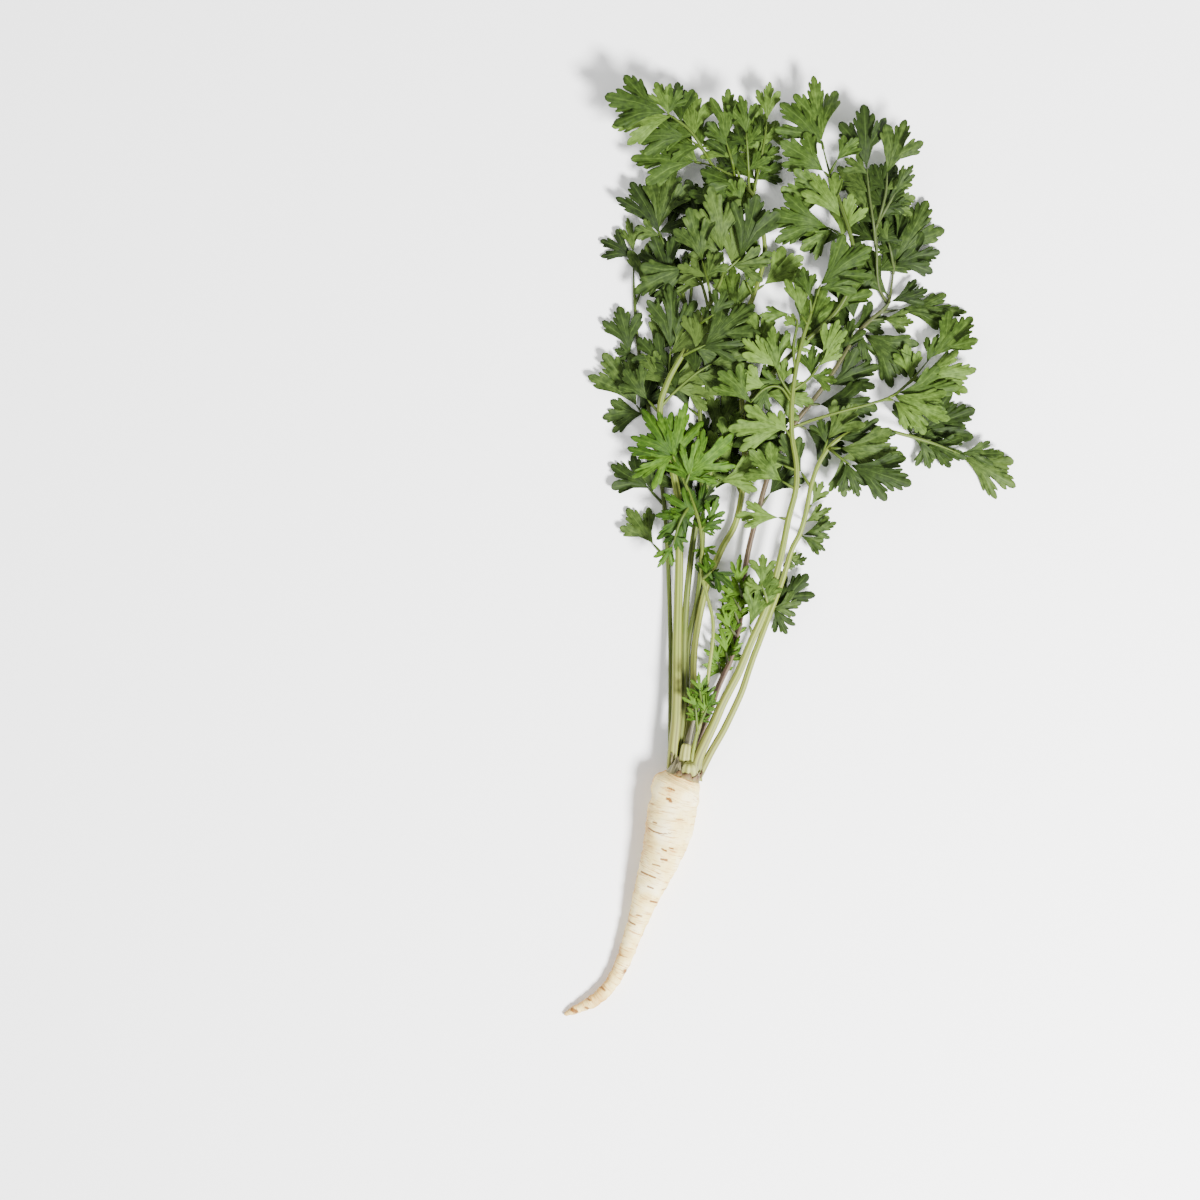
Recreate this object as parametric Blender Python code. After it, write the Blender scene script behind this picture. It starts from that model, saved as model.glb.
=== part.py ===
"""Parsley root as picked: a tapered white root, its crown, ten leaves and the stubs of older stalks.

The plant lies on the plane z = 0 with its root tip towards -Y and its leaves fanned towards +Y.
Routes are given in millimetres as seen from above; heights follow from how each leaf lies on those below.
"""

import math
import random

import bmesh
import bpy
import numpy as np

MM = 0.001
SEED = 41
# Moves the drawing's origin to the middle of the plant's bounding box.
SHIFT_X = 3.5
SHIFT_Y = 0.8

# Root: x, y and radius of the section from the crown to the tail's end.
ROOT_AXIS = (
    (-67.8, -145.5, 10.4),
    (-69.6, -150.0, 13.4),
    (-72.4, -156.0, 15.9),
    (-74.1, -161.5, 15.7),
    (-75.6, -170.0, 15.5),
    (-76.9, -179.0, 15.2),
    (-79.2, -189.0, 14.0),
    (-82.2, -199.0, 12.6),
    (-87.1, -212.0, 10.7),
    (-92.3, -225.6, 8.6),
    (-97.2, -240.5, 6.7),
    (-101.4, -252.2, 5.8),
    (-105.4, -264.0, 5.2),
    (-110.2, -274.6, 4.6),
    (-116.6, -284.2, 4.3),
    (-125.0, -291.9, 4.1),
    (-133.8, -296.6, 3.1),
    (-139.6, -299.3, 2.4),
    (-144.2, -301.6, 1.2),
)
ROOT_SIDES = 16
ROOT_STEP = 6.0
# The root rests on a flat strip this deep under its shoulder, and clears the surface elsewhere.
RESTING_CUT = 1.0
RESTING_RISE = 0.35
RESTING_FROM = -158.0
RESTING_TO = -188.0
RING_RELIEF = 0.16

# Crown: the flat top of the root that every stalk grows from, and the direction that it faces.
CROWN = (-67.8, -145.5, 15.3)
CROWN_HEADING = math.radians(70.0)
SEAT_GAP = 0.35

STALK_SIDES = 5
STUB_SIDES = 10
STALK_STEP = 23.0
TWIG_SIDES = 4
TWIG_STEP = 30.0
SHORTEST_EDGE = 0.000005
BLADE_THICKNESS = 0.8
# Clear height between one leaf and the leaves that it lies on.
LAY_GAP = 1.0
STALK_GAP = 0.5
CELL = 3.0
GRID_X = -186.0
GRID_Y = -330.0
GRID_COLUMNS = 126
GRID_ROWS = 222
SPREAD_CELLS = 4

# Half of a leaflet's outline: breadth and length from its foot, as parts of its length.
# Three lobes cut deep towards the rib, the side lobes with two teeth and the middle one with three.
OUTLINE = (
    (0.032, 0.0),
    (0.40, 0.46),
    (0.36, 0.56),
    (0.43, 0.73),
    (0.13, 0.53),
    (0.25, 0.82),
    (0.13, 0.86),
)
MIDDLE_OUTLINE = (
    (0.035, 0.0),
    (0.41, 0.50),
    (0.42, 0.74),
    (0.13, 0.53),
    (0.25, 0.82),
    (0.13, 0.86),
)
SMALL_OUTLINE = (
    (0.045, 0.0),
    (0.42, 0.56),
    (0.14, 0.56),
    (0.24, 0.84),
)
MIDDLE_BLADE = 38.0
SMALL_BLADE = 29.5
OUTLINE_TIP = (0.0, 1.0)
HUB = (0.0, 0.36)
# A leaflet may touch others of its own leaf this near its foot, and lies over them beyond.
FOOT_FREE = 7.0
OWN_GAP = 0.4
OWN_RISE = 5.0

# Each leaf: name, seat on the crown (across, up), radius at foot, middle and end, colours, route, sprays.
# A spray is a side stalk's route and its leaflets, each with heading in degrees, length and breadth.
LEAVES = (
    (
        "leaf_1", (-8.4, -3.0), (1.7, 1.5, 0.9), ("dark", "green"),
        ((-76, -128), (-76, -100), (-76, -60), (-77, -20), (-80, 30), (-88, 80), (-96, 125), (-99, 160), (-100, 191)),
        (
            (((-100, 188), (-100, 193)), ((97, 23, 0.4), (150, 24, 0.95))),
            (((-99, 160), (-94, 171)), ((84, 29, 0.9),)),
            (((-96, 125), (-102, 128)), ((100, 31, 0.95), (165, 14, 0.85))),
            (((-95, 120), (-88, 127)), ((62, 31, 0.9),)),
            (((-88, 80), (-98, 94)), ((118, 40, 1), (62, 25, 0.9))),
            (((-80, 30), (-90, 40)), ((150, 29, 0.95), (95, 24, 0.9))),
            (((-77, -8), (-87, 4)), ((125, 29, 0.95),)),
        ),
    ),
    (
        "leaf_4", (-3.4, -10.2), (1.9, 1.9, 1.0), ("dark", "green"),
        ((-69, -128), (-65.5, -95), (-64.3, -60), (-58, -30), (-55, 10), (-56, 60), (-58, 110), (-64, 150),
         (-74, 185), (-84, 206)),
        (
            (((-82, 202), (-84, 207)), ((78, 41, 0.95), (116, 38, 0.9), (20, 24, 0.9))),
            (((-64, 150), (-60, 190), (-54, 207)), ((116, 34, 0.9),)),
            (((-74, 185), (-83, 203)), ((166, 17, 0.95),)),
            (((-66, 158), (-76, 174)), ((112, 34, 0.95),)),
            (((-57, 85), (-64, 92)), ((112, 31, 0.9),)),
            (((-57, 90), (-49, 100)), ((75, 31, 0.95),)),
            (((-56, 60), (-48, 72)), ((62, 36, 0.95),)),
            (((-55, 20), (-62, 34)), ((120, 29, 0.95),)),
        ),
    ),
    (
        "leaf_5", (1.8, -11.5), (2.1, 2.2, 1.2), ("pale", "bright"),
        ((-66, -129), (-61.5, -95), (-60.2, -62), (-53, -25), (-43, 0), (-33, 20), (-28, 55), (-30, 100), (-31, 140),
         (-22, 165), (-15.5, 188), (-16, 206), (-21, 226), (-33, 239), (-48, 247), (-60, 250)),
        (
            (((-57, 250), (-61, 250)), ((179, 41, 0.85), (133, 30, 0.95))),
            (((-21, 226), (-25, 233)), ((163, 34, 1),)),
            (((-31, 238), (-34, 245)), ((112, 28, 1),)),
            (((-48, 247), (-58, 258), (-66, 264)), ((172, 34, 0.95),)),
            (((-52, 252), (-64, 268), (-79, 279)), ((163, 41, 0.95), (192, 39, 0.7), (112, 23, 0.95), (60, 18, 0.85))),
            (((-34, 240), (-41, 262)), ((82, 33, 0.7), (128, 20, 0.85))),
            (((-22, 228), (-20, 250)), ((94, 38, 0.85),)),
            (((-21, 232), (-16, 262), (-14, 277)), ((89, 24, 0.6),)),
            (((-24, 232), (-28, 266)), ((95, 25, 0.85),)),
            (((-18, 214), (-32, 222)), ((165, 34, 0.95), (120, 20, 0.95))),
            (((-31, 135), (-34, 151)), ((96, 33, 0.9),)),
            (((-21, 167), (-15, 172)), ((35, 31, 0.95),)),
            (((-22, 165), (-27, 173)), ((78, 29, 0.95),)),
            (((-29, 80), (-24, 92)), ((60, 34, 0.95),)),
            (((-30, 35), (-36, 50)), ((125, 31, 0.95),)),
            (((-31, 60), (-22, 66)), ((40, 30, 0.95),)),
        ),
    ),
    (
        "leaf_8", (5.2, -9.0), (1.8, 1.9, 1.2), ("purple", "green"),
        ((-60.5, -134), (-55.5, -117), (-49.5, -102), (-45.5, -90), (-41, -80), (-36.5, -70), (-33, -55), (-30, -40),
         (-28.5, -20), (-25.5, 0), (-20, 22), (-12, 50), (2, 78), (21, 103), (33, 121), (46, 141), (56, 151),
         (65, 159), (68, 173), (69.5, 187)),
        (
            (((69, 181), (70, 188)), ((56, 44, 0.85), (14, 31, 0.95), (98, 44, 0.5))),
            (((69, 184), (65, 199)), ((128, 17, 0.95),)),
            (((64, 158), (59, 172), (57, 196), (56, 214)), ((82, 39, 0.85), (112, 34, 0.6), (52, 34, 0.6))),
            (((57, 190), (52, 226), (50, 245)), ((95, 41, 0.85), (140, 18, 0.85))),
            (((57, 205), (62, 228), (63, 242)), ((70, 36, 0.85),)),
            (((58, 208), (68, 229)), ((62, 21, 0.4),)),
            (((66, 162), (65, 166)), ((136, 34, 0.95),)),
            (((61, 155), (72, 156)), ((2, 45, 0.35),)),
            (((60, 154), (67, 161)), ((14, 25, 0.7),)),
            (((54, 149), (62, 150)), ((-10, 20, 0.85),)),
            (((45, 140), (50, 140)), ((-33, 43, 0.85), (-78, 21, 0.85))),
            (((42, 135), (43, 150)), ((104, 37, 1),)),
            (((31, 118), (35, 126)), ((78, 25, 0.95),)),
            (((21, 103), (28, 107)), ((24, 34, 0.95),)),
            (((14, 95), (21, 94)), ((2, 37, 0.95),)),
            (((5, 82), (12, 78)), ((-30, 31, 0.95),)),
            (((-18, 28), (-12, 36)), ((50, 31, 0.95),)),
            (((-41.5, -81), (-45, -73)), ((106, 17, 0.6),)),
            (((-38, -74), (-40, -66)), ((96, 19, 0.6),)),
            (((-36.8, -71), (-36, -66)), ((64, 12, 0.6),)),
            (((-34, -58), (-38, -50)), ((108, 18, 0.6),)),
            (((-32, -48), (-35, -40)), ((96, 19, 0.5),)),
            (((-30.2, -40), (-36, -31)), ((112, 18, 0.6),)),
            (((-29.5, -32), (-33, -22)), ((92, 19, 0.5),)),
        ),
    ),
    (
        "leaf_3", (-4.6, -5.6), (2.1, 2.1, 1.2), ("dark", "bright"),
        ((-70.5, -128), (-67.8, -100), (-67.3, -60), (-64.5, -20), (-58, 25), (-44, 65), (-22, 100), (4, 128),
         (25, 147), (35, 160), (41.5, 175), (42, 188), (39, 204), (33, 222), (26, 242), (21, 261)),
        (
            (((22, 257), (21, 263)), ((99, 42, 0.55), (130, 38, 0.95))),
            (((27, 238), (22, 243)), ((142, 34, 1),)),
            (((27, 240), (30, 249)), ((48, 20, 0.95),)),
            (((36, 214), (30, 227)), ((170, 36, 0.85),)),
            (((37, 210), (33, 214)), ((125, 34, 0.9),)),
            (((42, 190), (33, 203), (25, 208)), ((168, 41, 0.9), (205, 25, 0.9))),
            (((25, 147), (31, 153)), ((58, 31, 0.95),)),
            (((6, 130), (10, 136)), ((64, 37, 0.95), (10, 31, 0.95))),
            (((-8, 116), (-14, 124)), ((118, 34, 0.95),)),
            (((-22, 100), (-29, 105)), ((112, 36, 0.95),)),
            (((-44, 65), (-37, 66)), ((22, 36, 0.95), (75, 25, 0.95))),
            (((-52, 44), (-44, 44)), ((10, 29, 0.95),)),
            (((-20, 102), (-14, 101)), ((-12, 31, 0.95),)),
        ),
    ),
    (
        "leaf_2", (-7.4, 2.6), (3.3, 2.8, 1.3), ("pale", "green"),
        ((-74.3, -128), (-72.3, -104), (-71.8, -60), (-70.5, -10), (-71, 30), (-77, 62), (-83, 88), (-78, 108),
         (-67, 128), (-57, 146), (-49, 162), (-42.5, 177), (-42.5, 190)),
        (
            (((-42.5, 185), (-43, 192)), ((101, 41, 0.9), (150, 25, 0.9))),
            (((-42.5, 178), (-31, 188)), ((72, 41, 0.9),)),
            (((-52, 156), (-57, 173), (-66, 181)), ((204, 37, 0.9),)),
            (((-82, 92), (-77.5, 112), (-76, 130)), ((86, 41, 0.9), (46, 34, 0.9))),
            (((-83, 88), (-91, 97)), ((128, 25, 0.95),)),
            (((-82, 92), (-73, 102), (-60, 113), (-50, 119)), ((14, 38, 0.9),)),
            (((-68, 126), (-54, 131)), ((42, 41, 0.9), (0, 30, 0.6))),
            (((-56, 147), (-49, 150)), ((56, 18, 0.95),)),
            (((-50, 161), (-56, 186)), ((108, 34, 0.95),)),
        ),
    ),
    (
        "leaf_6", (4.2, -4.6), (1.4, 1.2, 0.9), ("pale", "young"),
        ((-62, -131), (-55.3, -104), (-51.5, -76), (-49.3, -58), (-49.5, -44), (-53.5, -28), (-56.8, -13), (-56, 2),
         (-58, 18), (-64, 36), (-70, 50), (-74.5, 60)),
        (
            (((-73, 57), (-75, 61)), ((124, 36, 0.9), (171, 31, 0.9), (79, 36, 0.9), (208, 30, 0.9))),
            (((-66, 41), (-63.5, 50)), ((34, 37, 0.9), (78, 25, 0.9))),
            (((-58, 18), (-62, 25)), ((214, 30, 0.9), (150, 25, 0.9))),
            (((-62, 30), (-70, 18), (-75, 2)), ((234, 17, 0.85),)),
            (((-57, 12), (-52, 18)), ((62, 17, 0.85), (20, 14, 0.85))),
            (((-56, 3), (-55.5, -2)), ((288, 14, 0.6),)),
            (((-55.5, -19), (-50, -14)), ((322, 18, 0.95),)),
        ),
    ),
    (
        "leaf_10", (8.6, -5.0), (2.4, 2.0, 1.0), ("pale", "green"),
        ((-56.5, -143), (-49.5, -130), (-42.5, -118), (-38, -109), (-33.3, -99), (-29.5, -90), (-26.3, -80),
         (-22.5, -69), (-19, -60), (-11.5, -40), (-4, -20), (2, 0), (7, 10), (11, 24), (14.5, 42), (20, 57),
         (29, 69), (42, 76), (58, 77.5), (76, 73.5), (95, 68), (111, 62)),
        (
            (((108, 63), (113, 61)), ((-29, 41, 0.7), (2, 30, 0.3))),
            (((76, 73.5), (81, 76)), ((18, 44, 0.85),)),
            (((84, 71.5), (88, 70)), ((-22, 30, 0.7),)),
            (((27, 67), (31, 71)), ((2, 38, 0.4),)),
            (((26, 65), (33, 65)), ((-5, 41, 0.9),)),
            (((25, 64), (32, 59), (39, 54)), ((-20, 41, 0.9), (-76, 24, 0.95))),
            (((22, 60), (25, 71)), ((58, 29, 0.95), (108, 18, 0.85))),
            (((14.5, 42), (8, 50)), ((120, 28, 0.95),)),
            (((11.5, 26), (15, 29)), ((58, 17, 0.6),)),
            (((9, 17), (12, 18)), ((36, 19, 0.5),)),
            (((7, 9), (10, 9.5)), ((16, 23, 0.5), (-24, 19, 0.5))),
            (((1, -4), (3, -8)), ((14, 10, 0.85),)),
            (((-11, -38), (-8, -37)), ((48, 30, 0.95), (6, 19, 0.95), (-62, 19, 0.95))),
        ),
    ),
    (
        "leaf_9", (8.2, 1.0), (3.3, 2.4, 1.1), ("pale", "bright"),
        ((-59.5, -137), (-54, -124), (-48, -111), (-43.3, -100), (-38.2, -90), (-33, -80), (-28.8, -70),
         (-24.8, -60), (-16, -40), (-9.5, -20), (-4.5, 0), (-0.5, 20), (4, 38), (4.5, 54), (1.5, 75), (2, 99),
         (5.5, 122), (9.5, 138), (14.5, 153), (19, 167)),
        (
            (((18, 164), (20, 170)), ((44, 41, 0.9), (12, 29, 0.6))),
            (((12, 145), (7.5, 151)), ((98, 30, 0.5),)),
            (((14.5, 153), (13, 161)), ((106, 21, 0.6),)),
            (((4, 112), (2.5, 130), (5, 146), (0, 151)), ((184, 20, 0.4),)),
            (((2, 98), (-5, 108), (-9, 117)), ((142, 28, 0.6), (98, 30, 0.6))),
            (((1.8, 92), (-6, 104), (-16, 103), (-25, 94)), ((132, 29, 0.9),)),
            (((3, 100), (13, 110), (21, 121)), ((72, 29, 0.4), (40, 20, 0.4))),
            (((1.5, 77), (15, 83), (36, 89), (51, 93), (66, 98.5), (80, 110), (92, 124)),
             ((45, 38, 0.85), (75, 20, 0.6))),
            (((76, 106), (84, 112)), ((8, 38, 0.85),)),
            (((64, 97.5), (71, 101)), ((2, 40, 0.7), (-28, 39, 0.85))),
            (((60, 96), (67, 96)), ((-50, 25, 0.6),)),
            (((1.6, 70), (-3, 78)), ((176, 37, 0.9), (130, 18, 0.85))),
            (((4.5, 50), (-4, 54)), ((186, 17, 0.7),)),
            (((-0.5, 20), (-7, 20.5)), ((178, 28, 0.5),)),
            (((2, 38), (-5, 44)), ((140, 29, 0.95),)),
            (((-23, -55), (-25.5, -49)), ((76, 31, 0.6),)),
            (((-14, -33), (-19, -22)), ((86, 19, 0.95),)),
        ),
    ),
    (
        "leaf_7", (3.4, 2.2), (1.1, 1.0, 0.8), ("pale", "young"),
        ((-62, -131), (-59.7, -120), (-57.5, -108), (-56, -98)),
        (
            (((-57, -102), (-56, -97)), ((84, 17, 0.85),)),
            (((-59, -115), (-60.5, -100)), ((118, 13, 0.85), (84, 13, 0.6))),
            (((-58.6, -112), (-53, -101)), ((54, 12, 0.85), (88, 14, 0.6))),
            (((-56.4, -100), (-58, -90)), ((96, 12, 0.85),)),
        ),
    ),
)

COLOURS = {
    "pale": (0.56, 0.60, 0.30),
    "dark": (0.29, 0.34, 0.15),
    "purple": (0.25, 0.19, 0.14),
    "green": (0.13, 0.24, 0.07),
    "bright": (0.21, 0.33, 0.09),
    "young": (0.26, 0.42, 0.05),
    "root": (0.90, 0.83, 0.70),
    "stub": (0.70, 0.70, 0.48),
    "withered": (0.52, 0.49, 0.38),
}

# Stubs of older stalks, in the same form as the leaves.
STUBS = (
    (
        "broken_stalk", (0.0, -6.9), (2.3, 2.2, 0.7), ("withered", "withered"),
        ((-66.6, -134), (-65.2, -125), (-62.5, -115), (-59.5, -106)), (),
    ),
    (
        "cut_stalk_1", (-1.0, -0.6), (3.4, 3.3, 3.1), ("stub", "stub"),
        ((-67.4, -136), (-66.6, -130), (-65.8, -125)), (),
    ),
    (
        "cut_stalk_2", (3.5, 8.3), (4.5, 4.4, 4.0), ("stub", "stub"),
        ((-64.4, -142), (-64.2, -137.2)), (),
    ),
)
# Order in which the stalks and leaves lie on one another, lowest first.
ORDER = (
    "leaf_1", "leaf_4", "leaf_5", "leaf_8", "leaf_3", "broken_stalk", "leaf_2", "leaf_6", "cut_stalk_1",
    "leaf_10", "leaf_9", "leaf_7", "cut_stalk_2",
)


def smooth_route(points, step):
    """Points at about equal steps on a smooth curve through the given ones."""
    knots = np.array(points, float)
    ends = np.vstack([2 * knots[0] - knots[1], knots, 2 * knots[-1] - knots[-2]])
    fine = []
    for i in range(1, len(ends) - 2):
        before, a, b, after = ends[i - 1:i + 3]
        for t in np.linspace(0, 1, 16, endpoint=False):
            curve = 2 * a + (b - before) * t + (2 * before - 5 * a + 4 * b - after) * t ** 2
            fine.append(0.5 * (curve + (3 * a - before - 3 * b + after) * t ** 3))
    fine = np.array(fine + [ends[-2]])
    lengths = np.concatenate([[0], np.cumsum(np.linalg.norm(np.diff(fine, axis=0), axis=1))])
    count = max(3, int(math.ceil(lengths[-1] / step)) + 1)
    wanted = np.linspace(0, lengths[-1], count)
    return np.stack([np.interp(wanted, lengths, fine[:, k]) for k in range(fine.shape[1])], axis=1)


def ramp(value):
    value = np.clip(value, 0.0, 1.0)
    return value * value * (3 - 2 * value)


def widest(values, reach):
    """The greatest value within reach of each, then averaged over the same reach, so never below the values."""
    padded = np.pad(values, reach, mode="edge")
    high = np.max([padded[i:i + len(values)] for i in range(2 * reach + 1)], axis=0)
    padded = np.pad(high, reach, mode="edge")
    return np.mean([padded[i:i + len(values)] for i in range(2 * reach + 1)], axis=0)


class Pile:
    """The height of what already lies there, on a grid seen from above."""

    def __init__(self, floor=-LAY_GAP + 0.05, spread=SPREAD_CELLS, blur=(2, 1)):
        self.top = np.full((GRID_COLUMNS, GRID_ROWS), floor)
        self.cover = self.top.copy()
        self.spread = spread
        self.blur = blur

    def add(self, points, rise):
        column = np.clip(((points[:, 0] - GRID_X) / CELL).astype(int), 0, GRID_COLUMNS - 1)
        row = np.clip(((points[:, 1] - GRID_Y) / CELL).astype(int), 0, GRID_ROWS - 1)
        np.maximum.at(self.top, (column, row), points[:, 2] + rise)

    def settle(self):
        """A smooth cover that is nowhere below what lies there."""
        cover = self.top
        for axis in (0, 1):
            cover = np.max([np.roll(cover, k, axis) for k in range(-self.spread, self.spread + 1)], axis=0)
        for reach in self.blur:
            for axis in (0, 1):
                cover = np.mean([np.roll(cover, k, axis) for k in range(-reach, reach + 1)], axis=0)
        self.cover = cover

    def height(self, x, y):
        column = np.clip((np.asarray(x) - GRID_X) / CELL - 0.5, 0, GRID_COLUMNS - 1.001)
        row = np.clip((np.asarray(y) - GRID_Y) / CELL - 0.5, 0, GRID_ROWS - 1.001)
        i = column.astype(int)
        j = row.astype(int)
        u = column - i
        v = row - j
        low = self.cover[i, j] * (1 - u) + self.cover[i + 1, j] * u
        high = self.cover[i, j + 1] * (1 - u) + self.cover[i + 1, j + 1] * u
        return low * (1 - v) + high * v


def seat_point(seat, along=SEAT_GAP):
    """A point on the crown, given across and up from its middle."""
    facing = np.array([math.cos(CROWN_HEADING), math.sin(CROWN_HEADING), 0.0])
    across = np.array([math.sin(CROWN_HEADING), -math.cos(CROWN_HEADING), 0.0])
    return np.array(CROWN) + across * seat[0] + np.array([0, 0, seat[1]]) + facing * along


def stalk_radius(radii, share):
    """Radius along a stalk: foot, middle and end, with the foot a little wider than the rest."""
    return np.interp(share, (0.0, 0.3, 1.0), radii)


def lay_stalk(leaf, soft, laid):
    """Height of a leaf's main stalk, from its seat down onto what lies below."""
    seat, radii, route = leaf[1], leaf[2], leaf[4]
    foot = seat_point(seat)
    path = smooth_route([tuple(foot[:2])] + [tuple(p) for p in route], 4.0)
    along = np.concatenate([[0], np.cumsum(np.linalg.norm(np.diff(path, axis=0), axis=1))])
    radius = stalk_radius(radii, along / along[-1])
    rest = widest(soft.height(path[:, 0], path[:, 1]) + LAY_GAP + radius, 7)
    height = foot[2] + (rest - foot[2]) * ramp(along / 150.0)
    height = np.maximum(height, rest * ramp((along - 20.0) / 60.0))
    need = height.copy()
    for other, other_radius in laid:
        apart = np.linalg.norm(path[:, None, :] - other[None, :, :2], axis=2)
        reach = radius[:, None] + other_radius[None, :] + STALK_GAP
        over = np.sqrt(np.maximum(reach ** 2 - apart ** 2, 0.0))
        need = np.maximum(need, np.where(apart < reach, other[None, :, 2] + over, -1.0).max(axis=1))
    raised = widest(need, 5)
    height = height + (raised - height) * ramp(along / 10.0)
    return np.column_stack([path, height]), radius


def lay_twig(stalks, start, route, pile, own, radii):
    """A side stalk from its place on the main stalk, or on an earlier side stalk, to its leaflets."""
    places = np.vstack(stalks)
    place = places[np.argmin(np.linalg.norm(places[:, :2] - np.array(start), axis=1))]
    points = [tuple(place[:2])] + [tuple(p) for p in route]
    path = smooth_route(points, 4.0)
    share = np.linspace(0, 1, len(path))
    radius = radii[0] + (radii[1] - radii[0]) * share
    rest = pile.height(path[:, 0], path[:, 1]) + LAY_GAP + radius
    far = np.linalg.norm(path - path[0], axis=1) > FOOT_FREE
    over_own = own.height(path[:, 0], path[:, 1]) + OWN_GAP + radius
    rest = np.maximum(rest, np.where(far, over_own, rest))
    rest = widest(rest, 2)
    start_height = place[2]
    height = np.maximum(rest, start_height + (rest[-1] + 1.0 - start_height) * ramp(share))
    height = height + (start_height - height) * ramp(1 - share * 3.0)
    return np.column_stack([path, height]), radius


BLADE_SAMPLES = ((1, 0, 0), (0, 1, 0), (0, 0.5, 0.5), (0.5, 0.5, 0), (0.5, 0, 0.5), (0.34, 0.33, 0.33))


def lay_blade(foot, heading, length, breadth, pile, own, draw, at_end):
    """Corners of one leaflet: hub first, then its outline from foot to tip and back.

    A leaflet at its stalk's end has two corners at its foot, and one at the side has a single corner.
    """
    turn = math.radians(heading + draw.uniform(-4, 4))
    facing = np.array([math.cos(turn), math.sin(turn)])
    across = np.array([facing[1], -facing[0]])
    roll = draw.uniform(-0.22, 0.22)
    pitch = draw.uniform(-0.02, 0.12)
    half = SMALL_OUTLINE if length < SMALL_BLADE else MIDDLE_OUTLINE if length < MIDDLE_BLADE else OUTLINE
    right = [(x * breadth, y) for x, y in half]
    left = [(-x, y) for x, y in reversed(right)]
    outline = [HUB] + right + [OUTLINE_TIP] + left
    if not at_end:
        outline = [HUB, (0.0, 0.0)] + right[1:] + [OUTLINE_TIP] + left[:-1]
    fixed = (1, len(outline) - 1) if at_end else (1,)
    corners = np.empty((len(outline), 3))
    for i, (x, y) in enumerate(outline):
        vary = 1.0 if i == 0 or i in fixed else draw.uniform(0.94, 1.06)
        plan = np.array(foot[:2]) + (across * x * vary + facing * y * vary) * length
        arch = 0.20 * y * (1 - y) - 0.10 * abs(x) + (0.03 if i == 0 else 0.0)
        lift = pitch * y + roll * x + arch + (draw.uniform(-0.03, 0.03) if y > 0.4 else 0.0)
        corners[i] = (plan[0], plan[1], foot[2] + lift * length)
    free = np.ones(len(outline), bool)
    free[list(fixed)] = False
    nominal = corners[:, 2].copy()
    clear = BLADE_THICKNESS / 2
    for _ in range(4):
        for a in range(1, len(outline)):
            b = a % (len(outline) - 1) + 1
            for weights in BLADE_SAMPLES:
                spot = corners[0] * weights[0] + corners[a] * weights[1] + corners[b] * weights[2]
                moved = [c for c, w in zip((0, a, b), weights) if w > 0 and free[c]]
                lack = float(pile.height(spot[0], spot[1]) + LAY_GAP + clear - spot[2])
                away = math.hypot(spot[0] - foot[0], spot[1] - foot[1]) > FOOT_FREE
                own_lack = float(own.height(spot[0], spot[1]) + OWN_GAP + clear - spot[2]) if away else 0.0
                for corner in moved:
                    room = nominal[corner] + OWN_RISE - corners[corner, 2]
                    corners[corner, 2] += max(lack, min(own_lack, room), 0.0)
    return corners


def lay_plant():
    """Lays every leaf on those before it and returns their stalks, twigs and blades in millimetres."""
    draw = random.Random(SEED)
    soft = Pile()
    pile = Pile()
    laid = []
    leaves = []
    entries = {entry[0]: entry for entry in LEAVES + STUBS}
    for leaf in [entries[name] for name in ORDER]:
        main, radius = lay_stalk(leaf, soft, laid)
        twigs = []
        blades = []
        own = Pile(-5.0, 2, (1,))
        for route, leaflets in leaf[5]:
            side_radii = (1.05, 0.85) if len(leaflets) < 3 else (1.2, 0.9)
            stalks = [main] + [earlier[0] for earlier in twigs]
            twig, twig_radius = lay_twig(stalks, route[0], route[1:], pile, own, side_radii)
            twigs.append((twig, twig_radius, len(leaflets)))
            for i, (heading, length, breadth) in enumerate(leaflets):
                foot = twig[-1] if i == 0 else twig[-2] + (twig[-1] - twig[-2]) * 0.35 * (i - 1)
                blades.append(lay_blade(foot, heading, length, breadth, pile, own, draw, i == 0))
            for corners in blades[-len(leaflets):]:
                own.add(blade_spots(corners), BLADE_THICKNESS / 2)
            own.settle()
        leaves.append((leaf[0], leaf[3], main, radius, twigs, blades))
        laid.append((main, radius))
        for piece, thick in [(main, radius)] + [twig[:2] for twig in twigs]:
            fine = smooth_route([tuple(p) for p in piece[::2]] + [tuple(piece[-1])], 1.5)
            soft_too = piece is not main
            for side in (-1.0, 0.0, 1.0):
                spots = fine + np.array([side * thick.max() * 0.7, side * thick.max() * 0.7, 0.0])
                pile.add(spots, thick.max())
                if soft_too:
                    soft.add(spots, thick.max())
        for corners in blades:
            spots = blade_spots(corners)
            pile.add(spots, BLADE_THICKNESS / 2)
            soft.add(spots, BLADE_THICKNESS / 2)
        pile.settle()
        soft.settle()
    return leaves


def blade_spots(corners):
    """Points all over a leaflet, about two millimetres apart."""
    around = list(range(1, len(corners)))
    spots = []
    for a, b in zip(around, around[1:] + around[:1]):
        for i in range(13):
            for j in range(13 - i):
                u, v = i / 12, j / 12
                spots.append(corners[0] * (1 - u - v) + corners[a] * u + corners[b] * v)
    return np.array(spots)


def material(name):
    made = bpy.data.materials.get(name)
    if made:
        return made
    made = bpy.data.materials.new(name)
    made.use_nodes = True
    shader = made.node_tree.nodes["Principled BSDF"]
    shader.inputs["Base Color"].default_value = (*COLOURS[name], 1.0)
    shader.inputs["Roughness"].default_value = 0.62
    made.diffuse_color = (*COLOURS[name], 1.0)
    return made


def to_object(name, builder, materials, collection):
    mesh = bpy.data.meshes.new(name)
    bmesh.ops.recalc_face_normals(builder, faces=builder.faces)
    builder.to_mesh(mesh)
    builder.free()
    for entry in materials:
        mesh.materials.append(material(entry))
    made = bpy.data.objects.new(name, mesh)
    collection.objects.link(made)
    return made


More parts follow.
